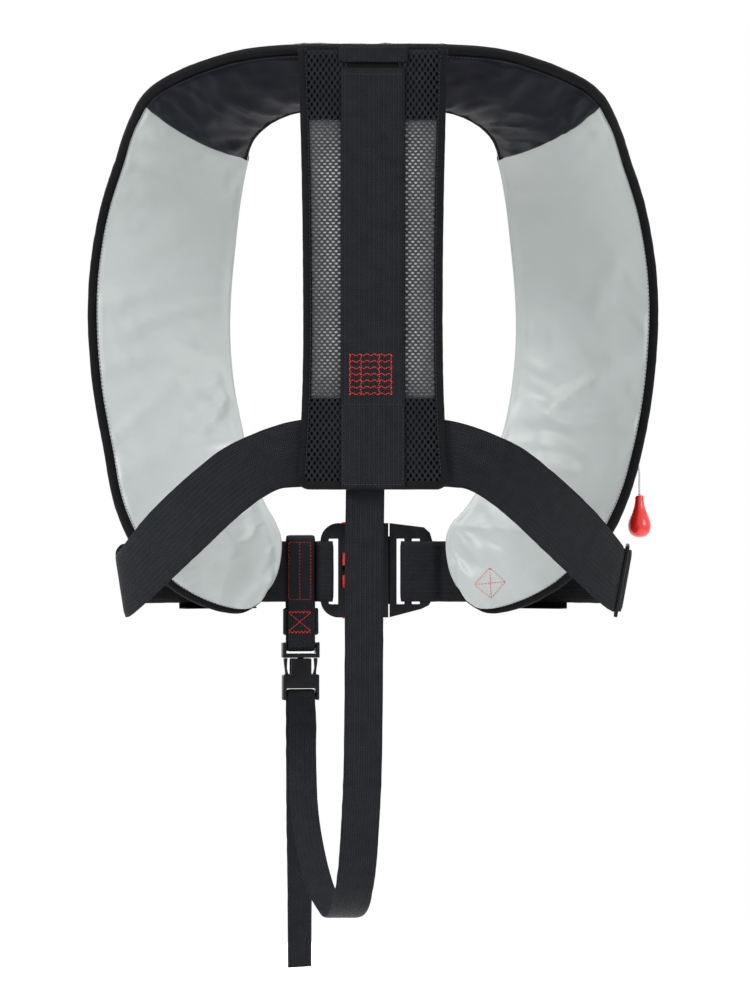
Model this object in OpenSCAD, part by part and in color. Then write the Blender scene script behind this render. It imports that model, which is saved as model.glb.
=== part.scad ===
// Inflatable life jacket: a horseshoe of packed bladder in a fabric cover, on a belt, back and crotch
// harness. Millimetres. +X is the wearer's right, +Y the way the wearer faces, +Z up. The origin is the
// middle of the neck opening, level with the collar's inner edge.

/* [Cover and lining] */
// Thickness of the packed lobes at the chest
lobe_thick = 58; // [57:0.5:62]
// Thickness of the packed collar behind the neck
collar_thick = 37; // [28:1:38]
// Thickness of the lobe tips, behind the belt
tip_thick = 12; // [10:0.5:13]
// Thickness of the sewn edge inside the binding
edge_thick = 5; // [4.8:0.1:5.4]
// Thickness of the coated lining
lining_thick = 1; // [0.8:0.1:1.1]
// Thickness of the outer cover
cover_thick = 1.4; // [1.2:0.1:1.4]
// Width of the flat closure flange along the outer edge
flange_w = 20; // [17:0.5:21]
// Width of the binding on the outer edge
binding_w = 8; // [6:0.5:8]
// Width of the binding on the inner edge
inner_binding_w = 3.5; // [3:0.5:4]
// How far the folded bladder may fill the space behind the inflator and the oral tube
bladder_low = 9.5; // [7:0.5:10]

/* [Back panel] */
// Height of the panel's top edge
panel_top = 37; // [34:1:37]
// Height of the panel's bottom edge
panel_bottom = -304; // [-308:1:-302]
// Half of the panel's width at its waist
panel_half_w = 54; // [52:1:56]
// Width of the binding round the panel
panel_binding_w = 7; // [5:0.5:8]
// Thickness of the padded spacer mesh
pad_thick = 4.5; // [3:0.5:4.5]

/* [Webbing] */
// Width of the belt and of the strap down the back
belt_w = 50; // [48:1:50]
// Thickness of the belt and the back strap
belt_thick = 1.8; // [1.4:0.1:1.8]
// Width of the crotch strap behind the wearer
crotch_back_w = 30; // [26:1:31]
// Width of the crotch strap in front of the wearer
crotch_front_w = 23; // [20:1:24]
// Thickness of the crotch webbing
crotch_thick = 1.6; // [1.2:0.1:1.7]

/* [Main buckle] */
// Radius of the belt round the wearer's front
waist_r = 285; // [285:1:285]
// Thickness of the closed buckle
buckle_thick = 14; // [13:0.5:14]
// Height of the buckle
buckle_h = 78; // [76:0.5:79]

/* [Inflator] */
// Diameter of the gas cylinder
cylinder_d = 30.5; // [28:0.5:31]
// Length of the gas cylinder without its neck
cylinder_len = 116; // [100:1:118]
// Length of the manual lever
lever_len = 18; // [14:1:19]
// Widest diameter of the pull toggle
toggle_d = 18.5; // [16:0.5:20]
// Length of the pull toggle
toggle_len = 34.6; // [30:0.2:36]

/* [Hidden] */
$fn = 48;

BLACK = "#17181b";
NAVY = "#1a1d28";
WEBBING = "#1e2024";
GREY = "#c2c9c8";
MESH_GREY = "#8d8f92";
RED = "#d8261f";
STEEL = "#b9bcc0";
YELLOW = "#e5c21c";

// The two edges of the horseshoe on the wearer's right, from behind the neck to the lobe's tip.
// The left side is their mirror image.
OUTER_EDGE = [
    [0, -121, 38], [97, -109, 36], [167, -69, 15], [192, -28, -9], [207, 22, -41], [221, 55, -78],
    [230, 76, -123], [232, 82, -169], [228, 83, -221], [219, 78, -270], [205, 62, -314],
    [184, 42, -350], [156, 64, -380], [124, 85, -399], [94, 98, -405], [76, 104, -395]
];
INNER_EDGE = [
    [0, -55, -3], [59, -50, -6], [90, -12, -19], [101, 28, -37], [109, 75, -68], [114, 100, -103],
    [118, 114, -141], [119, 119, -178], [116, 120, -216], [109, 118, -253], [96, 113, -287],
    [80, 108, -315], [66, 108, -331], [61, 109, -347], [63, 108, -368], [69, 107, -383]
];
SEAM = 3;         // station where the collar meets a lobe
TIP = 15;         // last station
LOBE_START = 3.02; // the lobe's panels begin just past the seam
LOBE_STEP = 0.453; // spacing of the rings in a lobe's panels
LOBE_STEPS = 26;
LEFT_SWING = 3.4; // degrees by which the left tip lies further round the waist

// The belt's two edges on the wearer's right, from the spine to where it turns along the front.
BELT_TOP = [
    [0, -129.5, -250], [57, -129.5, -250], [107, -122, -267], [139, -102, -289], [176, -58, -322],
    [204, -5, -354], [203, 25, -348], [190, 62, -346]
];
BELT_LOW = [
    [0, -129.5, -301], [57, -129.5, -302], [78, -126, -306], [105, -108, -325], [142, -68, -359],
    [193, -5, -404], [197, 25, -398], [188, 62, -396]
];
WAIST_CENTRE = [0, -150];  // axis of the belt's front arc
BELT_Z = -371;             // middle of the belt in front
BUCKLE_Z = -370;           // middle of the main buckle

// Middle line of the crotch strap: x, y, z and the turn of its width about the vertical.
CROTCH_BACK = [
    [-6, -124.5, -236, 0], [-6, -124.5, -300, 0], [-7, -121, -370, 0], [-7, -113, -430, 0],
    [-8, -98, -520, 0], [-10, -80, -565, 0], [-12, -66, -596, 0], [-15, -50, -620, 0],
    [-19, -30, -637, 0], [-25, -6, -645, 0]
];
CROTCH_FRONT = [
    [-25, -6, -645, 0], [-33, 16, -641, 0], [-42, 36, -626, 2], [-50, 58, -600, 4],
    [-56, 82, -566, 7], [-58, 104, -525, 10], [-58, 119, -495, 12]
];
CROTCH_TURN = -12.1; // bearing of the crotch buckle on the belt

// Middle line of the pull cord, from the lever's end out through the cover's side and down.
CORD_ROUTE = [
    [190.6, 116.8, -232], [193, 113.6, -240], [196, 109.8, -247], [199, 105.5, -254], [204, 101, -261],
    [209, 97.5, -268], [213.5, 94.5, -275], [216.5, 92.8, -282], [218, 92, -290], [218, 92, -299],
    [218, 92, -307.9]
];
CORD_D = 2;
TOGGLE_TOP = [218, 92, -308];
EYELET_AT = [201.5, 103.2, -257.5]; // where the cord leaves the cover
EYELET_DIR = [0.53, -0.44, -0.73];  // the cord's direction there

// Places inside the lobes, in the lobe's own frame
CYLINDER_AT = [46, 20];   // axis of the gas cylinder and the inflator
CYLINDER_TOP = -104;
INFLATOR_TOP = -228;
LEVER_PIVOT = [65, 20, -247];
TUBE_AT = [40, 14];       // axis of the oral tube
TUBE_BOTTOM = -232;
TUBE_TOP = -128;

// ---- points, curves and lofts ----

function unit(v) = v / norm(v);
function mirrored(p) = [-p[0], p[1], p[2]];
function station(rows, i) = let (p = rows[min(abs(i), len(rows) - 1)]) i < 0 ? swung(mirrored(p), -i) : p;

// The left lobe's tip is buckled a little further round the waist than the right one's
function swung(p, i) =
    let (a = LEFT_SWING * lookup(i, [[9, 0], [12, 1]]), q = p - [0, WAIST_CENTRE[1], 0])
    [q[0] * cos(a) - q[1] * sin(a), q[0] * sin(a) + q[1] * cos(a) + WAIST_CENTRE[1], q[2]];

// Smooth curve through four rows
function curve(a, b, c, d, f) =
    (2 * b + (c - a) * f + (2 * a - 5 * b + 4 * c - d) * f * f + (3 * b - a - 3 * c + d) * f * f * f) / 2;

// Curve through mirrored rows, where u counts stations from the middle
function along(rows, u) =
    let (i = min(floor(u), len(rows) - 2))
    curve(station(rows, i - 1), station(rows, i), station(rows, i + 1), station(rows, i + 2), u - i);

// Curve through an open list of rows, ends included
function open_row(rows, i) = rows[max(0, min(len(rows) - 1, i))];
function path(rows, u) =
    let (i = min(floor(u), len(rows) - 2))
    curve(open_row(rows, i - 1), open_row(rows, i), open_row(rows, i + 1), open_row(rows, i + 2), u - i);
function steps(rows, n) = [for (k = [0 : n * (len(rows) - 1)]) path(rows, k / n)];

// A solid skinned over rings that have equal numbers of points, each ring's first half facing its second
module loft(rings) {
    m = len(rings[0]);
    last = (len(rings) - 1) * m;
    sides = [for (i = [0 : len(rings) - 2], k = [0 : m - 1])
        let (a = i * m + k, b = i * m + (k + 1) % m) each [[a, b, b + m], [a, b + m, a + m]]];
    caps = [for (k = [0 : m / 2 - 2])
        let (a = k, b = k + 1, c = m - 2 - k, d = m - 1 - k)
        each [[a, d, c], [a, c, b], [last + a, last + b, last + c], [last + a, last + c, last + d]]];
    polyhedron([for (r = rings) each r], concat(sides, caps));
}

// A closed band skinned over rings whose last joins the first
module loop_loft(rings) {
    m = len(rings[0]);
    n = len(rings);
    polyhedron([for (r = rings) each r], [for (i = [0 : n - 1], k = [0 : m - 1])
        let (a = i * m + k, b = i * m + (k + 1) % m, c = (i + 1) % n * m + (k + 1) % m, d = (i + 1) % n * m + k)
        each [[a, b, c], [a, c, d]]]);
}

// Flat webbing over rows of two edge points
module webbing(rows, thick) {
    last = len(rows) - 1;
    loft([for (i = [0 : last])
        let (
            a = rows[i][0], b = rows[i][1],
            before = rows[max(i - 1, 0)], after = rows[min(i + 1, last)],
            run = after[0] + after[1] - before[0] - before[1],
            n = unit(cross(run, b - a)) * thick / 2
        )
        [a - n, b - n, b + n, a + n]]);
}

// A row of two edge points from a middle point with a turn, and a width
function strap_row(p, w) =
    let (half = w / 2 * [cos(p[3]), sin(p[3]), 0], mid = [p[0], p[1], p[2]]) [mid - half, mid + half];

// A round cord along a route
module cord(route, d, sides) {
    last = len(route) - 1;
    loft([for (i = [0 : last])
        let (
            run = unit(route[min(i + 1, last)] - route[max(i - 1, 0)]),
            across = unit(cross(run, [0, 1, 0])), up = cross(across, run)
        )
        [for (k = [0 : sides - 1])
            let (a = 360 / sides * (k + 0.5)) route[i] + d / 2 * (cos(a) * across + sin(a) * up)]]);
}

// ---- the horseshoe's shape ----

function width(u) = norm(along(OUTER_EDGE, u) - along(INNER_EDGE, u));
function flat_point(u, t) = along(INNER_EDGE, u) * (1 - t) + along(OUTER_EDGE, u) * t;
function down(u) = unit(flat_point(u + 0.05, 0.5) - flat_point(u - 0.05, 0.5));
function out(u) = unit(cross(along(OUTER_EDGE, u) - along(INNER_EDGE, u), down(u)));

// How far the lining swells towards the body, and the widths that narrow at the tip
function swell(u) = lookup(abs(u), [[0, 4], [3, 7], [9, 7], [12, 4], [TIP, 0]]);
function flange(u) = lookup(abs(u), [[0, flange_w], [12, flange_w], [14, flange_w * 0.6], [TIP, flange_w * 0.2]]);
function binding(u) = lookup(abs(u), [[0, binding_w], [13, binding_w], [TIP, binding_w * 0.6]]);
function depth(u) = lookup(abs(u), [
    [0, collar_thick], [1, collar_thick + 2], [2, collar_thick + 10], [3, lobe_thick - 10],
    [4, lobe_thick - 3], [5, lobe_thick], [9, lobe_thick - 2], [10, lobe_thick - 16], [11, tip_thick + 2],
    [12, tip_thick], [14, tip_thick], [TIP, tip_thick - 2]
]);

// Point at station u, t of the way from inner to outer edge, d outwards from the lining's inner face
function skin(u, t, d) = flat_point(u, t) + out(u) * (d - swell(u) * 4 * t * (1 - t));

// Height of the cover over the lining: a dome that ends at the flange
function dome(u, t) =
    let (x = min(1, t * width(u) / (width(u) - flange(u))))
    edge_thick + (depth(u) - edge_thick) * sqrt(max(0, 1 - pow(abs(2 * x - 1), 2.5)));

GAP = 1; // sewn panels stop this far from the binding
function panel_in(u) = (inner_binding_w + GAP) / width(u);
function panel_out(u) = 1 - (binding(u) + GAP) / width(u);

// A layer of the horseshoe between two heights, from station u0 to u1 and from side t0 to t1
module layer(u0, u1, nu, nt, t0, t1, low, high) {
    loft([for (i = [0 : nu])
        let (
            u = u0 + (u1 - u0) * i / nu,
            ts = [for (j = [0 : nt]) t0(u) + (t1(u) - t0(u)) * j / nt]
        )
        concat(
            [for (t = ts) skin(u, t, low(u, t))],
            [for (j = [nt : -1 : 0]) skin(u, ts[j], high(u, ts[j]))]
        )]);
}
function lobe_station(k) = sign(k) * LOBE_START + LOBE_STEP * k; // k counts rings, and is negative on the left
module cover(u0, u1, nu) {
    layer(u0, u1, nu, 12, function(u) panel_in(u), function(u) panel_out(u),
        function(u, t) dome(u, t) - cover_thick, function(u, t) dome(u, t));
}
module lining(u0, u1, nu) {
    layer(u0, u1, nu, 6, function(u) panel_in(u), function(u) panel_out(u),
        function(u, t) 0, function(u, t) lining_thick);
}
TAPE_FROM = 1;  // rings of the lobe between which the closure tapes run
TAPE_TO = 20;
module tapes(low, high) {
    for (ends = [[TAPE_FROM, TAPE_TO], [-TAPE_TO, -TAPE_FROM]])
        layer(lobe_station(ends[0]), lobe_station(ends[1]), TAPE_TO - TAPE_FROM, 1,
            function(u) 1 - (flange(u) - 2) / width(u), function(u) panel_out(u),
            function(u, t) low, function(u, t) high);
}
module on_left() { mirror([1, 0, 0]) children(); }

module collar_cover() color(BLACK) cover(-SEAM, SEAM, 12);
module lobe_cover_right() color(BLACK) difference() {
    cover(LOBE_START, lobe_station(LOBE_STEPS), LOBE_STEPS);
    translate(EYELET_AT) point_along(EYELET_DIR) {
        cylinder(h = 30, d = 5.4, center = true);
        translate([0, 0, 4]) cylinder(h = 10, d = 8.2);
    }
}
module lobe_cover_left() color(BLACK) cover(lobe_station(-LOBE_STEPS), -LOBE_START, LOBE_STEPS);
module collar_lining() color(NAVY) lining(-SEAM, SEAM, 12);
module lobe_lining_right() color(GREY) lining(LOBE_START, lobe_station(LOBE_STEPS), LOBE_STEPS);
module lobe_lining_left() color(GREY) lining(lobe_station(-LOBE_STEPS), -LOBE_START, LOBE_STEPS);

// One binding runs round the whole edge: outer edge, tip, inner edge and the other tip
function binding_ring(p, inward, w, u) =
    let (n = out(u), low = -1, high = edge_thick + 1)
    [p + n * low, p + inward * w + n * low, p + inward * w + n * high, p + n * high];
function across(u) = unit(along(OUTER_EDGE, u) - along(INNER_EDGE, u));
function tip_ring(side) =
    let (u = side * TIP, ahead = down(u) * side)
    binding_ring(flat_point(u, 0.45) + ahead * 2, -ahead, inner_binding_w, u);
module edge_binding() {
    half_steps = 2 * TIP;
    color(BLACK) loop_loft(concat(
        [for (k = [-half_steps : half_steps])
            let (u = k / 2) binding_ring(along(OUTER_EDGE, u), -across(u), binding(u), u)],
        [tip_ring(1)],
        [for (k = [half_steps : -1 : -half_steps])
            let (u = k / 2) binding_ring(along(INNER_EDGE, u), across(u), inner_binding_w, u)],
        [tip_ring(-1)]
    ));
}

// Hook and loop tape holds the flange shut from the shoulders down to the waist
module closure_loop_tape() color(BLACK) tapes(lining_thick + 0.3, lining_thick + 1.1);
module closure_hook_tape() color(NAVY) tapes(lining_thick + 1.3, edge_thick - cover_thick - 0.3);

// The folded bladder fills the cover, and lies flat behind the hardware in both lobes
function bladder_top(u, t) =
    min(dome(u, t) - cover_thick - 2.5, lookup(abs(u), [[4.2, lobe_thick], [4.9, bladder_low],
        [10, bladder_low], [10.6, lobe_thick]]));
module bladder() color(YELLOW)
    layer(-13.6, 13.6, 54, 6, function(u) 12 / width(u), function(u) 1 - (flange(u) + 6) / width(u),
        function(u, t) lining_thick + 1.6, function(u, t) bladder_top(u, t));

// ---- back panel ----

BACK_Y = -138; // the face of the back strap, furthest from the body

// Half width of the panel, which flares to its top and more quickly to its bottom
function panel_half(z) = let (rise = z + 180) panel_half_w + (rise > 0 ? 4 * pow(rise / 217, 2) : 5 * pow(rise / 124, 2));

// The panel's outline between two heights, inset from its edge; corners are cut where it ends
module panel_outline(z0, z1, inset, corner) {
    n = 12;
    heights = [for (k = [0 : n]) z0 + corner + (z1 - z0 - corner) * k / n];
    arc = [for (a = [0 : 15 : 75]) [corner * (1 - sin(a)), corner * (1 - cos(a))]];
    side = concat(
        corner > 0 ? [for (c = arc) [panel_half(z0) - inset - c[0], z0 + c[1]]] : [],
        [for (z = heights) [panel_half(z) - inset, z]]);
    polygon(concat(side, [for (k = [len(side) - 1 : -1 : 0]) [-side[k][0], side[k][1]]]));
}
// A flat sheet standing in the back panel, from depth y0 to y1
module sheet(y0, y1) {
    translate([0, y1, 0]) rotate([90, 0, 0]) linear_extrude(y1 - y0) children();
}
PAD_Y = BACK_Y + belt_thick + 0.6;
MESH_SPLIT = -16;
PAD_SPLIT = -235;
module back_base_panel() color(BLACK)
    sheet(-128, -126) panel_outline(panel_bottom, panel_top - 4, 1, 9);
module back_pad_upper() color(BLACK)
    sheet(PAD_Y, PAD_Y + pad_thick) panel_outline(MESH_SPLIT, panel_top, panel_binding_w + 0.3, 0);
module back_mesh() color(MESH_GREY)
    sheet(PAD_Y + 1, PAD_Y + pad_thick) panel_outline(PAD_SPLIT, MESH_SPLIT - 0.4, panel_binding_w + 0.3, 0);
module back_pad_lower() color(BLACK)
    sheet(PAD_Y, PAD_Y + pad_thick)
        panel_outline(panel_bottom + panel_binding_w + 0.3, PAD_SPLIT - 0.4, panel_binding_w + 0.3, 4);
module back_binding() color(BLACK) sheet(PAD_Y - 0.2, PAD_Y + pad_thick + 0.3) difference() {
    panel_outline(panel_bottom, panel_top, 0, 10);
    panel_outline(panel_bottom + panel_binding_w, panel_top + 1, panel_binding_w, 4);
}
module back_strap() color(WEBBING)
    translate([-belt_w / 2, BACK_Y, panel_bottom + 1]) cube([belt_w, belt_thick, 22 - panel_bottom]);

// The strap's folded end, sewn to the collar's rim above a shadow gap
module collar_keeper() color(WEBBING)
    translate([-belt_w / 2 - 2, BACK_Y, 26]) cube([belt_w + 4, belt_thick + 0.4, 13]);

// ---- waist belt ----

// A point on the belt's front arc at a bearing, a radius and a height
function on_waist(bearing, r, z) =
    [WAIST_CENTRE[0] + r * sin(bearing), WAIST_CENTRE[1] + r * cos(bearing), z];
function front_row(bearing, r) =
    [on_waist(bearing, r, BELT_Z + belt_w / 2), on_waist(bearing, r, BELT_Z - belt_w / 2)];
function polar_path(rows) = [for (p = rows) front_row(p[0], p[1])];

HOUSING_IN = waist_r - buckle_thick / 2 + 0.5;
HOUSING_OUT = waist_r + buckle_thick / 2 + 0.5;
WRAP = belt_thick / 2 + 0.3; // from a plastic face to the middle of webbing wrapped on it

// The belt's sewn loop round the housing's bar, from its tail to the belt
HOUSING_LOOP = [
    [-17, waist_r + 3.1], [-9.55, waist_r + 3.1], [-9.15, waist_r + 5], [-8.8, HOUSING_OUT + WRAP],
    [-7.4, HOUSING_OUT + WRAP], [-6.95, HOUSING_OUT + 0.6], [-6.82, HOUSING_OUT - 2], [-6.8, waist_r + 0.5],
    [-6.84, HOUSING_IN + 2], [-6.98, HOUSING_IN - 0.6], [-7.5, HOUSING_IN - WRAP], [-9, HOUSING_IN - WRAP],
    [-9.3, waist_r - 4], [-9.65, waist_r - 0.3], [-12, waist_r]
];
FRONT_ANGLE = 41.8; // bearing where the side of the belt meets the front arc
OUTER_LAYER = 3.6;  // the belt's right end lies this far outside the webbing of the tongue

// A point in the adjuster's frame: x out from the body, y along the belt, z up
ADJUSTER_AT = [199.4, 10.2, -376.3];
ADJUSTER_TURN = [3, 10, -2];
function in_adjuster(p) =
    let (
        a = ADJUSTER_TURN,
        q = [p[0], p[1] * cos(a[0]) - p[2] * sin(a[0]), p[1] * sin(a[0]) + p[2] * cos(a[0])],
        r = [q[0] * cos(a[1]) + q[2] * sin(a[1]), q[1], q[2] * cos(a[1]) - q[0] * sin(a[1])]
    )
    ADJUSTER_AT + [r[0] * cos(a[2]) - r[1] * sin(a[2]), r[0] * sin(a[2]) + r[1] * cos(a[2]), r[2]];

// The belt weaves over the adjuster's middle bar and under its other two: along the belt, and outwards
WEAVE = [[-18.5, -3], [-11.6, -3], [-3, 3], [3, 3], [11.6, -3], [18.5, -3]];
function weave_row(p) = [for (side = [1, -1]) in_adjuster([p[1], p[0], side * belt_w / 2])];
function belt_row(u) = [along(BELT_TOP, u), along(BELT_LOW, u)];

module waist_belt() color(WEBBING) webbing(concat(
    polar_path(HOUSING_LOOP),
    [for (a = [-15 : -3 : -39]) front_row(a, waist_r)],
    [for (k = [-28 : 19]) belt_row(k / 4)],
    [for (p = WEAVE) weave_row(p)],
    [for (u = [6.3 : 0.3 : 6.9]) belt_row(u)],
    [for (a = [FRONT_ANGLE - 1, 39, 37]) front_row(a, waist_r + (FRONT_ANGLE - a) / 5 * OUTER_LAYER)],
    [for (a = [35 : -2.5 : 20]) front_row(a, waist_r + OUTER_LAYER)]
), belt_thick);

// Three-bar adjuster on the right side of the belt, in the belt's plane
module belt_adjuster() color(BLACK) translate(ADJUSTER_AT) rotate(ADJUSTER_TURN) slider(58, 33, 3);
// A frame of two rails and three bars, its height along z and its length along y
module slider(height, length, thick) {
    bar = 4.4;
    rail = 3.4;
    difference() {
        cube([thick, length, height], center = true);
        for (side = [-1, 1])
            translate([0, side * (length / 4 - bar / 4), 0])
                cube([thick + 2, length / 2 - bar * 1.5, height - 2 * rail], center = true);
    }
}

// Fabric keepers sewn on the lobe tips hold the belt against them
module belt_keeper_right() color(BLACK) belt_keeper();
module belt_keeper_left() color(BLACK) on_left() belt_keeper();
module belt_keeper() {
    wall = 1.2;
    low = waist_r - 5.5;
    high = waist_r + 7;
    top = belt_w / 2 + 5;
    translate([0, WAIST_CENTRE[1], BELT_Z]) rotate([0, 0, 90 - 33]) rotate_extrude(angle = 13) difference() {
        translate([low, -top]) square([high - low, 2 * top]);
        translate([low - 1, wall - top]) square([high - low + 1 - wall, 2 * (top - wall)]);
    }
}

// ---- main buckle ----

// An outline drawn as seen from the front (x, z), cut from a ring round the waist's axis
module bent(r0, r1) {
    intersection() {
        translate([0, WAIST_CENTRE[1], BUCKLE_Z - buckle_h]) difference() {
            cylinder(h = 2 * buckle_h, r = r1, $fn = 180);
            translate([0, 0, -1]) cylinder(h = 2 * buckle_h + 2, r = r0, $fn = 180);
        }
        translate([0, WAIST_CENTRE[1] + r1 + 5, 0]) rotate([90, 0, 0]) linear_extrude(40) children();
    }
}
module rect(x0, x1, z0, z1) { translate([x0, z0]) square([x1 - x0, z1 - z0]); }
module round_rect(x0, x1, z0, z1, r) {
    rect(x0 + r, x1, z0, z1);
    rect(x0, x1, z0 + r, z1 - r);
    for (z = [z0 + r, z1 - r]) translate([x0 + r, z]) circle(r);
}
TOP = BUCKLE_Z + buckle_h / 2;
BOTTOM = BUCKLE_Z - buckle_h / 2;
BLADE_IN = waist_r - 2.3;  // the tongue's blade, and the pocket for it in the housing
BLADE_OUT = waist_r + 1.9;
CLEAR = 0.4;               // running clearance in the buckles

module housing_outline() {
    difference() {
        round_rect(-43.4, 12.6, BOTTOM, TOP, 15);
        rect(-36.6, -28.9, BELT_Z - 27, BELT_Z + 27);
    }
}
module blade_outline(grow) {
    rect(-2 - grow, 15, BUCKLE_Z - 28 - grow, BUCKLE_Z + 28 + grow);
    rect(-19 - grow, 0, BUCKLE_Z - 13 - grow, BUCKLE_Z + 13 + grow);
}
// A release button with its latch arm; up is 1 for the upper one, -1 for the lower one.
// Its pocket is the same outline grown by the clearance, and deeper by the button's travel.
BUTTON_TRAVEL = 3;
module button_outline(up, grow, travel) {
    translate([0, BUCKLE_Z]) mirror([0, up > 0 ? 0 : 1]) {
        rect(-25.5 - grow, -4 + grow, 18 - grow - travel, buckle_h / 2 + 1 + 4 * grow);
        rect(-25.5 - grow, -22.5 + grow, 4 - grow - travel, 19);
    }
}
module buckle_pocket(r0, r1) {
    bent(r0, r1) {
        blade_outline(CLEAR);
        for (up = [-1, 1]) button_outline(up, CLEAR, BUTTON_TRAVEL);
    }
}
module buckle_housing_rear() color(BLACK) difference() {
    bent(HOUSING_IN, waist_r) housing_outline();
    buckle_pocket(BLADE_IN - CLEAR, waist_r + 1);
    bent(HOUSING_IN - 1, waist_r) rect(-26, -6, BUCKLE_Z - 14.5, BUCKLE_Z + 14.5);
}
module buckle_housing_front() color(BLACK) difference() {
    bent(waist_r, HOUSING_OUT) housing_outline();
    buckle_pocket(waist_r - 1, BLADE_OUT + CLEAR);
}
module buckle_tongue() color(BLACK) {
    bent(waist_r - 3.5, waist_r + 4) difference() {
        polygon([[13.6, TOP], [42, TOP - 3.5], [47, TOP - 8], [49, TOP - 15], [49, BOTTOM + 15],
            [46, BOTTOM + 10], [40, BOTTOM + 7], [13.6, BOTTOM]]);
        rect(19.5, 25.8, BELT_Z - 27, BELT_Z + 27);
        rect(32, 38.6, BELT_Z - 27, BELT_Z + 27);
    }
    bent(BLADE_IN, BLADE_OUT) blade_outline(0);
}
module buckle_button_upper() color(RED) bent(BLADE_IN, BLADE_OUT) button_outline(1, 0, 0);
module buckle_button_lower() color(RED) bent(BLADE_IN, BLADE_OUT) button_outline(-1, 0, 0);

// The webbing runs over the tongue's outer bar, round its inner bar and back
TONGUE_LOOP = [
    [13.5, waist_r + 2.6], [11.2, waist_r + 2.6], [10.5, waist_r + 4.4], [9.9, waist_r + 5.3],
    [7.9, waist_r + 5.3], [6.4, waist_r + 5.3], [5, waist_r + 5.2], [4.74, waist_r + 3.6],
    [4.7, waist_r], [4.74, waist_r - 3.1], [5, waist_r - 4.7], [6.4, waist_r - 4.8],
    [7.9, waist_r - 4.8], [9.9, waist_r - 4.8], [10.6, waist_r - 3.4], [11.4, waist_r - 0.4], [12.5, waist_r]
];
module tongue_webbing() color(WEBBING) webbing(concat(
    polar_path(TONGUE_LOOP), [for (a = [14.5 : 2.5 : 24.5]) front_row(a, waist_r)]
), belt_thick - 0.2);

// ---- crotch strap and its buckle ----

// Frame at the crotch buckle: y runs out from the waist's axis
module at_crotch() {
    translate([0, WAIST_CENTRE[1], 0]) rotate([0, 0, -CROTCH_TURN]) children();
}
// A block between two corners
module block(a, b) { translate(a) cube(b - a); }

// Points of a strap in the crotch buckle's plane: radius, height and turn, as middle points
function crotch_point(p) = concat(on_waist(CROTCH_TURN, p[0], p[1]), [p[2]]);

LOOP_IN = waist_r - 3.3;
LOOP_OUT = waist_r + 6.4;
BELT_LOOP = [
    [waist_r + 0.6, -436.4], [LOOP_IN + 0.7, -433.5], [LOOP_IN, -428], [LOOP_IN, -388], [LOOP_IN, -350],
    [LOOP_IN + 1.4, -343.6], [waist_r + 1.6, -341.6], [LOOP_OUT - 1.4, -343.6], [LOOP_OUT, -350],
    [LOOP_OUT, -388], [LOOP_OUT - 0.4, -420], [waist_r + 4.7, -433.5], [waist_r + 2.8, -436.4]
];
module crotch_belt_loop() color(WEBBING)
    webbing([for (p = BELT_LOOP) strap_row(crotch_point(concat(p, [-CROTCH_TURN])), crotch_front_w)],
        crotch_thick);

// Plastic ring held in the loop below the belt
module strap_ring() color(BLACK) at_crotch() difference() {
    block([-14.8, waist_r - 1.6, -423.5], [14.8, waist_r + 2.4, -401]);
    block([-11, waist_r - 3, -418.5], [11, waist_r + 4, -406]);
}
module crotch_strap_back() color(WEBBING)
    webbing([for (p = steps(CROTCH_BACK, 3)) strap_row(p, crotch_back_w)], crotch_thick + 0.2);

INSERT_TOP = -429.3;
INSERT_BASE = -442.2;
SOCKET_END = -477.2;
SHELL_IN = waist_r - 3.6;   // the crotch buckle's faces
SHELL_OUT = waist_r + 5.2;
WEB_HALF = 12.4;            // half width of its webbing slots
module crotch_buckle_insert() color(BLACK) at_crotch() {
    difference() {
        block([-15.4, SHELL_IN, INSERT_BASE], [15.4, SHELL_OUT, INSERT_TOP]);
        block([-WEB_HALF, SHELL_IN - 1, -438.6], [WEB_HALF, SHELL_OUT + 1, INSERT_TOP + 1]);
    }
    block([-WEB_HALF - 1, waist_r - 0.8, -434], [WEB_HALF + 1, waist_r + 3.2, -430.4]);
    block([-2.2, waist_r - 0.8, -458], [2.2, waist_r + 2.4, INSERT_BASE + 0.5]);
}
// A sprung prong: a bowed arm with a barb, hinged by its own root
PRONG = [
    [11, -442.6], [14.2, -442.6], [13.9, -447], [13.2, -452], [12.9, -456], [12.9, -460], [11.6, -463.4],
    [8.4, -463.4], [8.6, -458], [10.6, -455], [11.6, -451], [11.4, -446]
];
module prong() at_crotch()
    translate([0, waist_r + 2.6, 0]) rotate([90, 0, 0]) linear_extrude(3.4) polygon(PRONG);
module crotch_prong_right() color(BLACK) prong();
module crotch_prong_left() color(BLACK)
    at_crotch() mirror([1, 0, 0]) rotate([0, 0, CROTCH_TURN]) translate([0, -WAIST_CENTRE[1], 0]) prong();

module crotch_buckle_socket() color(BLACK) at_crotch() {
    difference() {
        block([-15.2, SHELL_IN, SOCKET_END], [15.2, SHELL_OUT, INSERT_BASE - 0.5]);
        block([-13.4, waist_r - 1.3, -465.5], [13.4, waist_r + 3.1, INSERT_BASE]);
        for (side = [-1, 1])
            block([side > 0 ? 8.6 : -16, SHELL_IN - 1, -456], [side > 0 ? 16 : -8.6, SHELL_OUT + 1, INSERT_BASE]);
        block([-WEB_HALF, SHELL_IN - 1, SOCKET_END - 1], [WEB_HALF, SHELL_OUT + 1, -467.5]);
    }
    block([-WEB_HALF - 1, waist_r - 0.8, -474.4], [WEB_HALF + 1, waist_r + 2.4, -471.2]);
}
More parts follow.
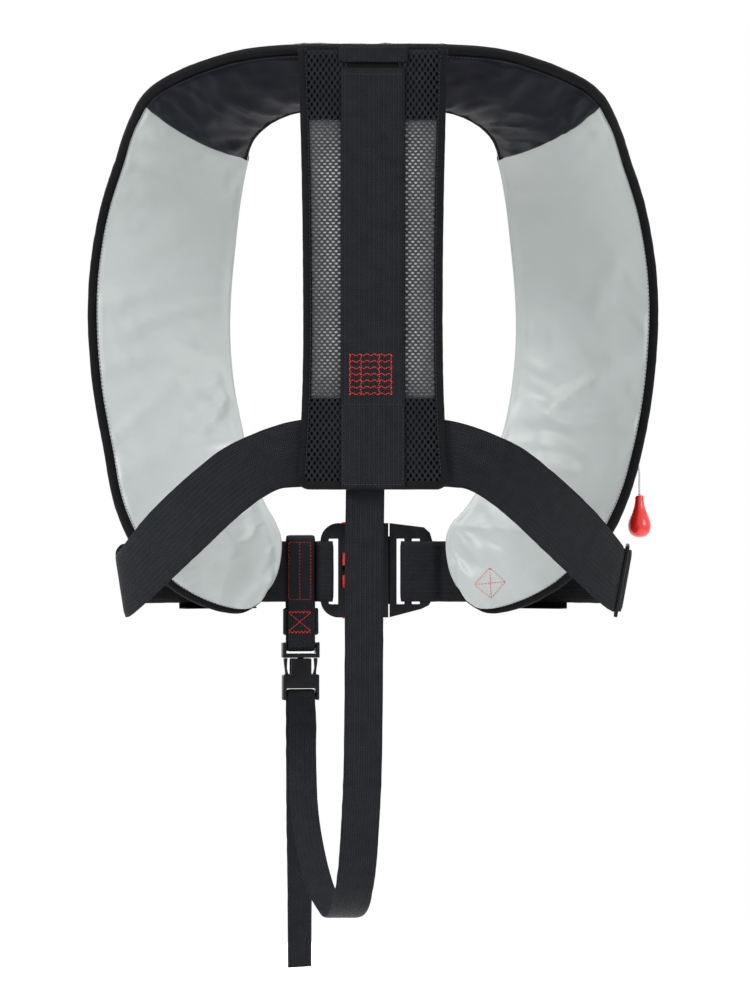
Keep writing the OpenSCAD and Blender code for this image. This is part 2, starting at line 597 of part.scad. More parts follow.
// The strap comes up, turns round the socket's bar and hangs down as its free tail
SOCKET_TURN = [
    [waist_r - 3.6, -481, 12], [waist_r - 3, -472.5, 12], [waist_r - 0.6, -469.2, 12], [waist_r + 2.2, -469.2, 12],
    [waist_r + 4.6, -472.5, 12], [waist_r + 5, -481, 12], [waist_r + 5, -530, 16], [waist_r + 6, -570, 22],
    [waist_r + 4.5, -630, 30], [waist_r + 4.5, -698, 34]
];
module crotch_strap_front() color(WEBBING) {
    legs = steps(CROTCH_FRONT, 3);
    webbing(concat(
        [for (k = [0 : len(legs) - 1]) strap_row(k == 0 ? legs[0] + [-0.4, 1, 0, 0] : legs[k], crotch_front_w)],
        [for (p = SOCKET_TURN) strap_row(crotch_point(p), crotch_front_w)]
    ), crotch_thick);
}

// ---- inflator, in the right lobe ----

// Frame of the lobe at the chest: x from its inner edge outwards, y out from the body
LOBE_CORNER = [119, 119, 0];
LOBE_TURN = -18;
module in_lobe() { translate(LOBE_CORNER) rotate([0, 0, LOBE_TURN]) children(); }
module upright(at, z) { translate([at[0], at[1], z]) children(); }
module point_along(v) {
    rotate([0, acos(v[2] / norm(v)), atan2(v[1], v[0])]) children();
}

NECK_D = 12.4;
NECK_LEN = 14;
module co2_cylinder() color(STEEL) in_lobe() upright(CYLINDER_AT, CYLINDER_TOP - cylinder_len) {
    r = cylinder_d / 2;
    rotate_extrude() polygon(concat(
        [[0, -NECK_LEN - 4], [NECK_D / 2, -NECK_LEN - 4], [NECK_D / 2, -1]],
        [for (a = [60 : -15 : 0]) [r - 9 + 9 * cos(a), 9 - 9 * sin(a)]],
        [for (a = [0 : 15 : 90]) [r - 13 + 13 * cos(a), cylinder_len - 13 + 13 * sin(a)]],
        [[0, cylinder_len]]
    ));
}
module inflator_body() color(BLACK) in_lobe() difference() {
    union() {
        block([31, 6, INFLATOR_TOP - 27], [61, 33, INFLATOR_TOP]);
        for (y = [12.5, 24.5]) block([60, y, -251], [68, y + 3, -240]);
    }
    upright(CYLINDER_AT, INFLATOR_TOP - 14) cylinder(h = 20, d = NECK_D + 0.6);
    translate([46, 0, INFLATOR_TOP - 21]) rotate([-90, 0, 0]) cylinder(h = 50, d = 6.4);
    translate([LEVER_PIVOT[0], 0, LEVER_PIVOT[2]]) rotate([-90, 0, 0]) cylinder(h = 50, d = 2.6);
}
module inflator_cartridge_cap() color(YELLOW) in_lobe() upright([44, 17], INFLATOR_TOP - 44) {
    cylinder(h = 16.8, d = 21);
    for (k = [0 : 11]) rotate(k * 30) translate([10.2, 0, 0]) cylinder(h = 12, d = 2, $fn = 16);
}
// The flange welded in the bladder, its stem through the inflator and the nut that holds it
module inflator_manifold() color(BLACK) in_lobe() translate([46, 0, INFLATOR_TOP - 21]) rotate([-90, 0, 0]) {
    translate([0, 0, 2]) cylinder(h = 3.6, d = 30);
    translate([0, 0, 5]) cylinder(h = 31, d = 6);
}
module manifold_nut() color(BLACK) in_lobe() translate([46, 33.2, INFLATOR_TOP - 21]) rotate([-90, 0, 0])
    difference() {
        cylinder(h = 5, d = 15, $fn = 6);
        translate([0, 0, -1]) cylinder(h = 4, d = 6.2);
    }
module lever_pin() color(STEEL) in_lobe()
    translate([LEVER_PIVOT[0], 12, LEVER_PIVOT[2]]) rotate([-90, 0, 0]) cylinder(h = 16, d = 2.4);
module inflator_lever() color(RED) in_lobe() translate(LEVER_PIVOT) difference() {
    union() {
        block([-2.2, -4, -1], [2.2, 4, lever_len]);
        rotate([90, 0, 0]) cylinder(h = 8, d = 5.2, center = true);
    }
    rotate([90, 0, 0]) cylinder(h = 10, d = 2.6, center = true);
    translate([0, 0, lever_len - 3]) rotate([0, 90, 0]) cylinder(h = 10, d = 2.2, center = true);
}
module pull_cord() color(GREY) cord(CORD_ROUTE, CORD_D, 8);
module cord_eyelet() color(BLACK) translate(EYELET_AT) point_along(EYELET_DIR) difference() {
    union() {
        translate([0, 0, -2.5]) cylinder(h = 7, d = 5);
        translate([0, 0, 4.4]) cylinder(h = 1.2, d = 7.4);
    }
    cylinder(h = 14, d = 3.4, center = true);
}
module pull_toggle() color(RED) translate(TOGGLE_TOP) rotate_extrude() polygon(concat(
    [[0, 0], [2.8, 0], [3.6, -0.8]],
    [for (a = [22 : -14 : -76]) [toggle_d / 2 * cos(a), -toggle_len + toggle_d / 2 * (1 + sin(a))]],
    [[0, -toggle_len]]
));

// ---- oral inflation tube and whistle, in the left lobe ----

module oral_manifold() color(BLACK) on_left() in_lobe() upright(TUBE_AT, TUBE_BOTTOM - 12) {
    translate([0, -11, 4]) rotate([-90, 0, 0]) cylinder(h = 3, d = 28);
    translate([0, -8.5, 4]) rotate([-90, 0, 0]) cylinder(h = 9, d = 9);
    difference() {
        translate([0, 0, -2]) cylinder(h = 22, d = 15);
        translate([0, 0, 12]) cylinder(h = 12, d = 12.2);
    }
}
module oral_tube() color(BLACK) on_left() in_lobe() upright(TUBE_AT, TUBE_BOTTOM) difference() {
    cylinder(h = TUBE_TOP - TUBE_BOTTOM, d = 12);
    translate([0, 0, 2]) cylinder(h = TUBE_TOP - TUBE_BOTTOM, d = 9);
}
module oral_valve() color(RED) on_left() in_lobe() upright(TUBE_AT, TUBE_TOP - 8) {
    cylinder(h = 3, d = 8.4);
    cylinder(h = 9.5, d = 3);
}
module oral_cap() color(RED) on_left() in_lobe() upright(TUBE_AT, TUBE_TOP - 9) difference() {
    cylinder(h = 16, d = 16);
    translate([0, 0, -1]) cylinder(h = 13, d = 12.8);
}
module whistle_clip() color(BLACK) on_left() in_lobe() upright(TUBE_AT, -196) difference() {
    union() {
        cylinder(h = 8, d = 16);
        translate([7, -3, 0]) cube([8, 6, 8]);
    }
    translate([0, 0, -1]) cylinder(h = 10, d = 12.2);
}
module whistle() color(YELLOW) on_left() in_lobe() upright([TUBE_AT[0] + 22, TUBE_AT[1]], -218) difference() {
    union() {
        translate([-6.5, -6, 0]) cube([13, 12, 38]);
        translate([-5, -4, 37]) cube([10, 8, 10]);
    }
    for (x = [-3, 3]) translate([x - 1.6, -7, 22]) cube([3.2, 9, 4]);
}

collar_cover();
lobe_cover_left();
lobe_cover_right();
collar_lining();
lobe_lining_left();
lobe_lining_right();
edge_binding();
closure_loop_tape();
closure_hook_tape();
bladder();
back_base_panel();
back_mesh();
back_pad_upper();
back_pad_lower();
back_binding();
back_strap();
collar_keeper();
waist_belt();
belt_adjuster();
belt_keeper_left();
belt_keeper_right();
buckle_housing_rear();
buckle_housing_front();
buckle_tongue();
tongue_webbing();
buckle_button_upper();
buckle_button_lower();
crotch_belt_loop();
strap_ring();
crotch_strap_back();
crotch_buckle_insert();
crotch_prong_left();
crotch_prong_right();
crotch_buckle_socket();
crotch_strap_front();
inflator_body();
inflator_cartridge_cap();
inflator_manifold();
manifold_nut();
lever_pin();
inflator_lever();
co2_cylinder();
pull_cord();
cord_eyelet();
pull_toggle();
oral_manifold();
oral_tube();
oral_valve();
oral_cap();
whistle_clip();
whistle();
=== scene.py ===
"""Looks of the inflatable life jacket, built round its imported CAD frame.

Shapes are worked out in millimetres in the row's frame, from the same driving dimensions as the CAD model,
and turned into metres when a mesh is made. +X is the wearer's right, +Y the way the wearer faces, +Z up.
"""

from collections import namedtuple
from functools import lru_cache, partial
from math import atan2, ceil, cos, floor, pi, radians, sin, sqrt

import bmesh
import bpy
from mathutils import Matrix, Vector, noise
from mathutils.bvhtree import BVHTree


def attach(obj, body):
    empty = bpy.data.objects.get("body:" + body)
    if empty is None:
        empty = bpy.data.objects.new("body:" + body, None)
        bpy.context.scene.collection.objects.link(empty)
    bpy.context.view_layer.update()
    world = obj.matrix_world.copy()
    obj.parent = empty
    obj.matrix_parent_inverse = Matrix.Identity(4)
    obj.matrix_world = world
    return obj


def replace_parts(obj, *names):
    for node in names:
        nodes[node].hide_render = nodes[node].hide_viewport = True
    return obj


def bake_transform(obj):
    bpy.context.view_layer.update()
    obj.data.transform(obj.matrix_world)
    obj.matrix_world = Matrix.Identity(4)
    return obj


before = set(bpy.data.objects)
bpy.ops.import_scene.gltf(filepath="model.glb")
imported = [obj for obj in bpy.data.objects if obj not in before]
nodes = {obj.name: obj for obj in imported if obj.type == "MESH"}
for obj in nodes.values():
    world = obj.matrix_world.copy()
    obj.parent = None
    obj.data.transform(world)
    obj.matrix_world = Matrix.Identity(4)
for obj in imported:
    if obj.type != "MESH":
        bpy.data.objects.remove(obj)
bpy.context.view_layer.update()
scene = bpy.context.scene
MM = 0.001

# ---- the jacket's dimensions, as in the CAD model ----

LOBE_THICK, COLLAR_THICK, TIP_THICK, EDGE_THICK = 58, 37, 12, 5
FLANGE_W, BINDING_W, INNER_BINDING_W = 20, 8, 3.5
SEAM, TIP, LEFT_SWING = 3, 15, 3.4
PANEL_TOP, PANEL_BOTTOM, PANEL_HALF_W, PANEL_BINDING_W = 37, -304, 54, 7
BACK_Y, MESH_SPLIT, PAD_SPLIT = -138, -16, -235
BELT_W, BELT_THICK = 50, 1.8
PAD_Y = BACK_Y + BELT_THICK + 0.6
CROTCH_BACK_W, CROTCH_FRONT_W, CROTCH_THICK = 30, 23, 1.6
WAIST_R, WAIST_Y, BELT_Z = 285, -150, -371
BUCKLE_THICK = 14
TOGGLE_LEN, CORD_D = 34.6, 2

OUTER_EDGE = [
    (0, -121, 38), (97, -109, 36), (167, -69, 15), (192, -28, -9), (207, 22, -41), (221, 55, -78),
    (230, 76, -123), (232, 82, -169), (228, 83, -221), (219, 78, -270), (205, 62, -314),
    (184, 42, -350), (156, 64, -380), (124, 85, -399), (94, 98, -405), (76, 104, -395),
]
INNER_EDGE = [
    (0, -55, -3), (59, -50, -6), (90, -12, -19), (101, 28, -37), (109, 75, -68), (114, 100, -103),
    (118, 114, -141), (119, 119, -178), (116, 120, -216), (109, 118, -253), (96, 113, -287),
    (80, 108, -315), (66, 108, -331), (61, 109, -347), (63, 108, -368), (69, 107, -383),
]
BELT_TOP = [
    (0, -129.5, -250), (57, -129.5, -250), (107, -122, -267), (139, -102, -289), (176, -58, -322),
    (204, -5, -354), (203, 25, -348), (190, 62, -346),
]
BELT_LOW = [
    (0, -129.5, -301), (57, -129.5, -302), (78, -126, -306), (105, -108, -325), (142, -68, -359),
    (193, -5, -404), (197, 25, -398), (188, 62, -396),
]
CROTCH_BACK = [
    (-6, -124.5, -236), (-6, -124.5, -300), (-7, -121, -370), (-7, -113, -430),
    (-8, -98, -520), (-10, -80, -565), (-12, -66, -596), (-15, -50, -620),
    (-19, -30, -637), (-25, -6, -645),
]
CROTCH_FRONT = [
    (-33, 16, -641, 0), (-42, 36, -626, 2), (-50, 58, -600, 4),
    (-56, 82, -566, 7), (-58, 104, -525, 10), (-58, 119, -495, 12),
]
CROTCH_TURN = -12.1
CORD_ROUTE = [
    (190.6, 116.8, -232), (193, 113.6, -240), (196, 109.8, -247), (199, 105.5, -254), (204, 101, -261),
    (209, 97.5, -268), (213.5, 94.5, -275), (216.5, 92.8, -282), (218, 92, -290), (218, 92, -299),
    (218, 92, -307.9),
]
TOGGLE_TOP = Vector((218, 92, -308))

# ---- curves and meshes ----


def catmull(a, b, c, d, f):
    """Smooth curve through four points or numbers."""
    return (2 * b + (c - a) * f + (2 * a - 5 * b + 4 * c - d) * f**2 + (3 * b - a - 3 * c + d) * f**3) / 2


def station(rows, i):
    """Row i; on the left it is mirrored, and the lobe's tip swings further round the waist."""
    x, y, z = rows[min(abs(i), len(rows) - 1)]
    if i >= 0:
        return Vector((x, y, z))
    turn = Matrix.Rotation(radians(LEFT_SWING) * lookup(-i, [(9, 0), (12, 1)]), 3, "Z")
    axis = Vector((0, WAIST_Y, 0))
    return turn @ (Vector((-x, y, z)) - axis) + axis


def along(rows, u):
    """Curve through rows mirrored about the middle; u counts stations from there."""
    i = min(floor(u), len(rows) - 2)
    return catmull(*(station(rows, i + k) for k in (-1, 0, 1, 2)), u - i)


def smooth_rows(rows, n, closed=False):
    """More rows between rows of points, on smooth curves through them."""
    count = len(rows)

    def row(i):
        return rows[i % count] if closed else rows[max(0, min(count - 1, i))]

    made = [
        [catmull(*points, k / n) for points in zip(row(i - 1), row(i), row(i + 1), row(i + 2))]
        for i in range(count if closed else count - 1)
        for k in range(n)
    ]
    return made if closed else made + [list(rows[-1])]


def smooth_line(points, n):
    return [row[0] for row in smooth_rows([(Vector(p),) for p in points], n)]


def lookup(u, pairs):
    """Value at u along straight lines between (place, value) pairs."""
    for (a, x), (b, y) in zip(pairs, pairs[1:]):
        if u <= b:
            return x + (y - x) * max(0, u - a) / (b - a)
    return pairs[-1][1]


def ripple(p, size, seed=0):
    """Smooth noise from -1 to 1 whose lumps are about size across."""
    return noise.noise(Vector(p) / size + Vector((seed * 7.3, seed * 3.1, seed)))


def make(name, points, faces, material, uvs=None, body="jacket", slot=None, turn_out=True):
    """A smooth mesh piece from points in millimetres. uvs, one for each point, are in metres of cloth."""
    mesh = bpy.data.meshes.new(name)
    mesh.from_pydata([Vector(p) * MM for p in points], [], faces)
    obj = bpy.data.objects.new(name, mesh)
    scene.collection.objects.link(obj)
    if uvs:
        layer = mesh.uv_layers.new(name="cloth")
        for loop in mesh.loops:
            layer.data[loop.index].uv = uvs[loop.vertex_index]
    if turn_out:
        bm = bmesh.new()
        bm.from_mesh(mesh)
        bmesh.ops.recalc_face_normals(bm, faces=bm.faces)
        bm.to_mesh(mesh)
        bm.free()
    mesh.shade_smooth()
    mesh.materials.append(material)
    if body:
        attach(obj, body)
    return obj


def grid_faces(rows, columns, close_rows=False, close_columns=False):
    return [
        (i * columns + j, i * columns + (j + 1) % columns,
         (i + 1) % rows * columns + (j + 1) % columns, (i + 1) % rows * columns + j)
        for i in range(rows if close_rows else rows - 1)
        for j in range(columns if close_columns else columns - 1)
    ]


def tube(name, rings, material, closed=False, uvs=None, **where):
    """Skin over closed rings; its ends are capped unless closed."""
    count, size = len(rings), len(rings[0])
    faces = grid_faces(count, size, close_rows=closed, close_columns=True)
    if not closed:
        faces += [tuple(range(size)), tuple(range((count - 1) * size, count * size))]
    return make(name, [p for ring in rings for p in ring], faces, material, uvs, **where)


def circle(sides):
    """(cosine, sine) of evenly spaced directions."""
    return [(cos(2 * pi * k / sides), sin(2 * pi * k / sides)) for k in range(sides)]


def distances(points):
    """Running length along points."""
    total = [0.0]
    for a, b in zip(points, points[1:]):
        total.append(total[-1] + (b - a).length)
    return total


def webbing(name, rows, thick, waves, body="jacket"):
    """Woven strap over rows of two edge points, with a lens-shaped section and a slightly uneven lie."""
    columns = 12
    rows = [(Vector(a), Vector(b)) for a, b in rows]
    middle = distances([(a + b) / 2 for a, b in rows])
    lines = [(j / columns * 2 - 1, 1) for j in range(columns + 1)]
    lines += [(s, -1) for s, _ in reversed(lines)]
    rings, uvs = [], []
    for i, (a, b) in enumerate(rows):
        before, after = rows[max(i - 1, 0)], rows[min(i + 1, len(rows) - 1)]
        run = after[0] + after[1] - before[0] - before[1]
        normal = run.cross(b - a).normalized()
        wide = (b - a).length
        ring = []
        for s, side in lines:
            half = thick / 2 * sqrt(1 - abs(s) ** 10 * 0.96)
            p = (a + b) / 2 + (b - a) / 2 * s
            p += normal * (side * half + waves * ripple(p, 24))
            p += (b - a) / wide * s * 0.3 * ripple((middle[i], s * 9, 0), 9)
            ring.append(p)
            uvs.append((s * wide / 2 * MM, middle[i] * MM))
        rings.append(ring)
    return tube(name, rings, BLACK_WEB, uvs=uvs, body=body, slot="webbing")


def rounded(ring, n=3, soft=0.42):
    """A four-cornered ring with its corners rounded."""
    a, b, c, d = ring
    points = []
    for k in range(4):
        before, corner, after = (ring[(k + i) % 4] for i in (-1, 0, 1))
        reach = min((before - corner).length, (after - corner).length) * soft
        start = corner + (before - corner).normalized() * reach
        end = corner + (after - corner).normalized() * reach
        for i in range(n + 1):
            f = i / n
            points.append(start * (1 - f) ** 2 + corner * 2 * f * (1 - f) + end * f**2)
    return points


def bound(name, rows, n, closed=False):
    """Folded binding tape over four-cornered rings."""
    rings, uvs, length = [], [], 0.0
    fine = smooth_rows(rows, n, closed)
    for i, row in enumerate(fine):
        if i:
            length += (row[0] - fine[i - 1][0]).length
        ring = rounded(row)
        centre = sum(row, Vector()) / 4
        ring = [p + (p - centre).normalized() * 0.25 * ripple(p, 7) for p in ring]
        girth = distances(ring)
        uvs += [(g * MM, length * MM) for g in girth]
        rings.append(ring)
    return tube(name, rings, TAPE, closed, uvs, slot="binding_tape")


# ---- materials ----


def add(material, kind, props=None, **inputs):
    """A shader node; inputs are numbers, colours or other nodes' outputs."""
    node = material.node_tree.nodes.new("ShaderNode" + kind)
    for key, value in (props or {}).items():
        setattr(node, key, value)
    for key, value in inputs.items():
        socket = node.inputs[int(key[1:])] if key[0] == "i" and key[1:].isdigit() else node.inputs[key]
        if isinstance(value, bpy.types.NodeSocket):
            link(material, value, socket)
        else:
            socket.default_value = value
    return node


def calc(material, operation, a, b=0.0, c=0.5):
    return add(material, "Math", {"operation": operation}, i0=a, i1=b, i2=c).outputs[0]


def base(name, colour, roughness, **uniform):
    """A material and its Principled shader, with values that are the same all over set on its sockets."""
    material = bpy.data.materials.new(name)
    material.use_nodes = True
    shader = material.node_tree.nodes["Principled BSDF"]
    shader.inputs["Base Color"].default_value = (*colour, 1)
    shader.inputs["Roughness"].default_value = roughness
    for key, value in uniform.items():
        shader.inputs[key.replace("_", " ")].default_value = value
    return material, shader


def link(material, output, socket):
    material.node_tree.links.new(output, socket)


def bump(material, shader, height, depth, strength=1.0, under=None):
    """Bump of a real depth in millimetres under the shader's normal."""
    node = add(material, "Bump", Height=height, Distance=depth * MM, Strength=strength)
    if under:
        link(material, under, node.inputs["Normal"])
    link(material, node.outputs["Normal"], shader.inputs["Normal"])
    return node.outputs["Normal"]


def blended(material, shader, factor, dark, light):
    """Base colour between dark and light, by a factor that varies over the surface."""
    node = add(material, "ValToRGB", Fac=factor)
    for element, colour in zip(node.color_ramp.elements, (dark, light)):
        element.color = (*colour, 1)
    link(material, node.outputs["Color"], shader.inputs["Base Color"])


def place(material):
    return add(material, "TexCoord").outputs["Object"]


def cloth_uv(material):
    """Across and along the cloth, in metres."""
    split = add(material, "SeparateXYZ", Vector=add(material, "UVMap", {"uv_map": "cloth"}).outputs["UV"])
    return split.outputs[0], split.outputs[1]


def grain(material, size, detail=2.0):
    """Noise lumps of a size in millimetres."""
    return add(
        material, "TexNoise", Vector=place(material), Scale=1 / (size * MM), Detail=detail
    ).outputs[0]


def wave(material, value, pitch):
    """A sine from 0 to 1 that repeats each pitch millimetres of value, in metres."""
    angle = calc(material, "MULTIPLY", value, 2 * pi / (pitch * MM))
    return calc(material, "MULTIPLY_ADD", calc(material, "SINE", angle), 0.5)


def webbing_material(name, dark, light, column=1.9, dash=1.5):
    """Herringbone webbing: columns of short slanted floats, every other one slanting the other way."""
    material, shader = base(name, dark, 0.55, Specular_IOR_Level=0.09)
    maths = partial(calc, material)
    across, down = cloth_uv(material)
    place_in = maths("DIVIDE", across, column * MM)
    number = maths("FLOOR", place_in)
    part = maths("FRACT", place_in)
    odd = maths("PINGPONG", number, 1.0)
    lean = maths("SUBTRACT", 1.0, maths("MULTIPLY", odd, 2.0))
    phase = maths("ADD", maths("DIVIDE", down, dash * MM), maths("MULTIPLY", lean, part))
    floats = maths("MULTIPLY_ADD", maths("SINE", maths("MULTIPLY", phase, 2 * pi)), 0.5)
    ridge = maths("SINE", maths("MULTIPLY", part, pi))
    height = maths("MULTIPLY", floats, maths("POWER", ridge, 0.6))
    # painted highlight: the raised tops of the floats are coloured lighter, unevened by 9 mm noise
    float_highlight = maths("MULTIPLY", height, maths("MULTIPLY_ADD", grain(material, 9.0), 1.2))
    blended(material, shader, float_highlight, dark, light)
    bump(material, shader, height, 0.35)
    return material


def woven_material(name, dark, light, pitch, roughness, depth=0.08, **uniform):
    """Plain-woven cloth with a soft unevenness."""
    material, shader = base(name, dark, roughness, **uniform)
    across, down = cloth_uv(material)
    weave = calc(material, "MULTIPLY", wave(material, across, pitch), wave(material, down, pitch))
    blended(material, shader, grain(material, 30.0, 4.0), dark, light)
    fine = bump(material, shader, weave, depth)
    bump(material, shader, grain(material, 3.0, 3.0), depth * 2, 0.5, fine)
    return material


def ribbed_material(name, dark, light, pitch=1.5, depth=0.2):
    """Grosgrain tape, with ribs across it."""
    material, shader = base(name, dark, 0.7, Specular_IOR_Level=0.1)
    _, down = cloth_uv(material)
    ribs = wave(material, down, pitch)
    # painted highlight: the rib crests are coloured lighter, unevened by 6 mm noise
    blended(material, shader, calc(material, "MULTIPLY", ribs, grain(material, 6.0)), dark, light)
    bump(material, shader, ribs, depth)
    return material


def coated_material(name, dark, light, roughness, depth=0.12, **uniform):
    """Coated fabric: a smooth film over a fine weave."""
    material, shader = base(name, dark, roughness, **uniform)
    across, down = cloth_uv(material)
    weave = calc(material, "MULTIPLY", wave(material, across, 0.9), wave(material, down, 0.9))
    blended(material, shader, grain(material, 55.0, 3.0), dark, light)
    fine = bump(material, shader, weave, 0.03)
    soft = bump(material, shader, grain(material, 16.0, 4.0), depth * 5, 0.6, fine)
    bump(material, shader, grain(material, 2.2, 3.0), depth * 0.5, 0.5, soft)
    return material


def moulded_material(name, dark, light, roughness, grain_mm=0.6, depth=0.05, **uniform):
    """Moulded or cast stuff with a fine grain, and a rub of lighter wear."""
    material, shader = base(name, dark, roughness, **uniform)
    blended(material, shader, grain(material, 12.0, 5.0), dark, light)
    rough = add(material, "MapRange", Value=grain(material, 5.0, 4.0))
    rough.inputs["To Min"].default_value = roughness * 0.85
    rough.inputs["To Max"].default_value = min(1, roughness * 1.2)
    link(material, rough.outputs[0], shader.inputs["Roughness"])
    bump(material, shader, grain(material, grain_mm, 2.0), depth)
    return material


# the second colour is the painted highlight on the webbing's raised floats
BLACK_WEB = webbing_material("black_webbing", (0.0006, 0.0007, 0.0010), (0.017, 0.0188, 0.0235))
COVER = woven_material(
    "cover_nylon", (0.0015, 0.0017, 0.0023), (0.0035, 0.0038, 0.005), 0.7, 0.55, Specular_IOR_Level=0.16
)
NAVY = coated_material(
    "navy_lining", (0.0008, 0.0010, 0.0036), (0.0018, 0.0024, 0.0075), 0.42, 0.1, Specular_IOR_Level=0.1
)
GREY = coated_material(
    "grey_lining", (0.325, 0.350, 0.345), (0.355, 0.380, 0.375), 0.40, Specular_IOR_Level=0.4
)
# the second colour is the painted highlight on the tape's rib crests
TAPE = ribbed_material("binding_tape", (0.0010, 0.0011, 0.0016), (0.008, 0.0086, 0.011))
PANEL = woven_material(
    "panel_cloth", (0.0015, 0.0017, 0.0022), (0.0035, 0.0038, 0.0046), 1.1, 0.8, 0.15, Specular_IOR_Level=0.1
)
NET_DARK = moulded_material(
    "net_strands", (0.022, 0.023, 0.026), (0.044, 0.046, 0.050), 0.75, 0.4, 0.1, Specular_IOR_Level=0.2
)
NET_BACKING = moulded_material("net_backing", (0.42, 0.425, 0.43), (0.54, 0.545, 0.55), 0.85, 0.7, 0.12)
NET_BLACK = moulded_material(
    "black_net_strands", (0.005, 0.0055, 0.007), (0.015, 0.016, 0.020), 0.7, 0.4, 0.1, Specular_IOR_Level=0.1
)
BLACK_PLASTIC = moulded_material(
    "black_plastic", (0.0014, 0.0016, 0.0026), (0.003, 0.0034, 0.005), 0.3, 0.35, 0.02, Specular_IOR_Level=0.2
)
RED_PLASTIC = moulded_material(
    "red_plastic", (0.62, 0.012, 0.010), (0.70, 0.018, 0.014), 0.24, 0.5, 0.01,
    Coat_Weight=0.3, Coat_Roughness=0.12
)
YELLOW_PLASTIC = moulded_material("yellow_plastic", (0.65, 0.45, 0.02), (0.75, 0.55, 0.03), 0.4)
STEEL = moulded_material("steel", (0.52, 0.53, 0.54), (0.62, 0.63, 0.64), 0.28, 0.8, 0.01, Metallic=1.0)
RUBBER = moulded_material(
    "black_rubber", (0.002, 0.002, 0.0024), (0.004, 0.004, 0.0046), 0.8, 0.5, 0.05, Specular_IOR_Level=0.1
)
BLADDER = moulded_material("bladder_cloth", (0.62, 0.42, 0.02), (0.72, 0.52, 0.03), 0.55, 0.7, 0.08)
RED_THREAD = moulded_material("red_thread", (0.45, 0.010, 0.008), (0.62, 0.02, 0.015), 0.55, 0.3, 0.05)
BLACK_THREAD = moulded_material("black_thread", (0.003, 0.0032, 0.004), (0.010, 0.0105, 0.013), 0.6, 0.3, 0.05)
CORD_YARN = moulded_material("cord_yarn", (0.50, 0.51, 0.52), (0.66, 0.67, 0.68), 0.7, 0.3, 0.08)

# ---- camera, light and floor ----

CAMERA_AT = Vector((1.6, -4000, -312)) * MM
camera = bpy.data.objects.new("camera", bpy.data.cameras.new("camera"))
camera.location = CAMERA_AT
camera.rotation_euler = (radians(90), 0, 0)
camera.data.lens = 180
camera.data.sensor_width = 36
camera.data.clip_end = 30
scene.collection.objects.link(camera)
scene.camera = camera
scene.view_settings.view_transform = "Standard"


MIDDLE = Vector((0, 0, -0.3))


def soft_light(name, place_at, size, power):
    light = bpy.data.lights.new(name, "AREA")
    light.shape = "DISK"
    light.size = size
    light.energy = power
    obj = bpy.data.objects.new(name, light)
    obj.location = place_at
    obj.rotation_euler = (MIDDLE - Vector(place_at)).to_track_quat("-Z", "Y").to_euler()
    scene.collection.objects.link(obj)


soft_light("key", (-1.9, -1.9, 1.3), 1.0, 75)
soft_light("fill", (2.2, -1.6, 0.5), 1.2, 30)
soft_light("top", (0.2, 0.3, 2.2), 1.0, 40)
soft_light("front", (-0.6, 2.6, 0.9), 1.6, 60)
world = bpy.data.worlds.new("studio")
world.use_nodes = True
background = world.node_tree.nodes["Background"].inputs
background["Color"].default_value = (1, 1, 1, 1)
background["Strength"].default_value = 1.0
scene.world = world

FLOOR_Z, FLOOR_R, FLOOR_SIDES = -745, 900, 96
floor_material, _ = base("floor", (0.86, 0.86, 0.86), 0.8)
floor_rim = [(FLOOR_R * c, FLOOR_R * s, FLOOR_Z) for c, s in circle(FLOOR_SIDES)]
floor_obj = make("floor", floor_rim, [tuple(range(FLOOR_SIDES))], floor_material, body=None, turn_out=False)

# ---- pull cord and toggle ----


def lathe(name, profile, at, material, sides=64, **where):
    """A turned shape from (radius, height) points, top to bottom."""
    rings = [[at + Vector((r * c, r * s, z)) for c, s in circle(sides)] for r, z in profile]
    return tube(name, rings, material, **where)


TOGGLE_PROFILE = [
    (1.4, 0), (2.5, -0.2), (3.2, -0.8), (3.5, -2), (3.6, -4.5), (4.1, -8), (5.2, -12), (6.8, -16),
    (8.3, -20), (9.15, -23.5), (9.25, -26), (8.7, -28.8), (7.5, -31.2), (5.6, -33.2), (3.2, -34.3),
    (1.2, -TOGGLE_LEN), (0.3, -TOGGLE_LEN),
]
toggle = lathe("toggle", smooth_line(TOGGLE_PROFILE, 3), TOGGLE_TOP, RED_PLASTIC,
               body="pull_toggle", slot="red_plastic")
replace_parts(toggle, "pull_toggle")


def twisted_cord(name, route, diameter, material, plies=2, pitch=5.0):
    """A cord of plies laid round each other along a route."""
    line = smooth_line(route, 16)
    lengths = distances(line)
    ply_r = diameter * 0.27
    points, faces, sides = [], [], 8
    for ply in range(plies):
        first = len(points)
        for i, p in enumerate(line):
            run = (line[min(i + 1, len(line) - 1)] - line[max(i - 1, 0)]).normalized()
            side = run.cross(Vector((0, 1, 0))).normalized()
            up = side.cross(run)
            turn = 2 * pi * (lengths[i] / pitch + ply / plies)
            centre = p + (side * cos(turn) + up * sin(turn)) * (diameter / 2 - ply_r)
            points += [centre + (side * c + up * s) * ply_r for c, s in circle(sides)]
        faces += [tuple(first + i for i in f) for f in grid_faces(len(line), sides, close_columns=True)]
        faces += [tuple(range(first, first + sides)), tuple(range(len(points) - sides, len(points)))]
    return make(name, points, faces, material, body=None, slot="cord"), lengths[-1], line


cord, cord_length, cord_line = twisted_cord("pull_cord_twist", CORD_ROUTE, CORD_D, CORD_YARN)
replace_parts(cord, "pull_cord")
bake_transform(cord)

# ---- the horseshoe ----


@lru_cache(maxsize=None)
def frame_at(u):
    """Inner edge, outer edge and outward direction at station u."""
    inner, outer = along(INNER_EDGE, u), along(OUTER_EDGE, u)

    def middle(v):
        return (along(INNER_EDGE, v) + along(OUTER_EDGE, v)) / 2

    down = (middle(u + 0.05) - middle(u - 0.05)).normalized()
    return inner, outer, (outer - inner).cross(down).normalized()


def width(u):
    inner, outer, _ = frame_at(u)
    return (outer - inner).length


def swell(u):
    return lookup(abs(u), [(0, 4), (3, 7), (9, 7), (12, 4), (TIP, 0)])


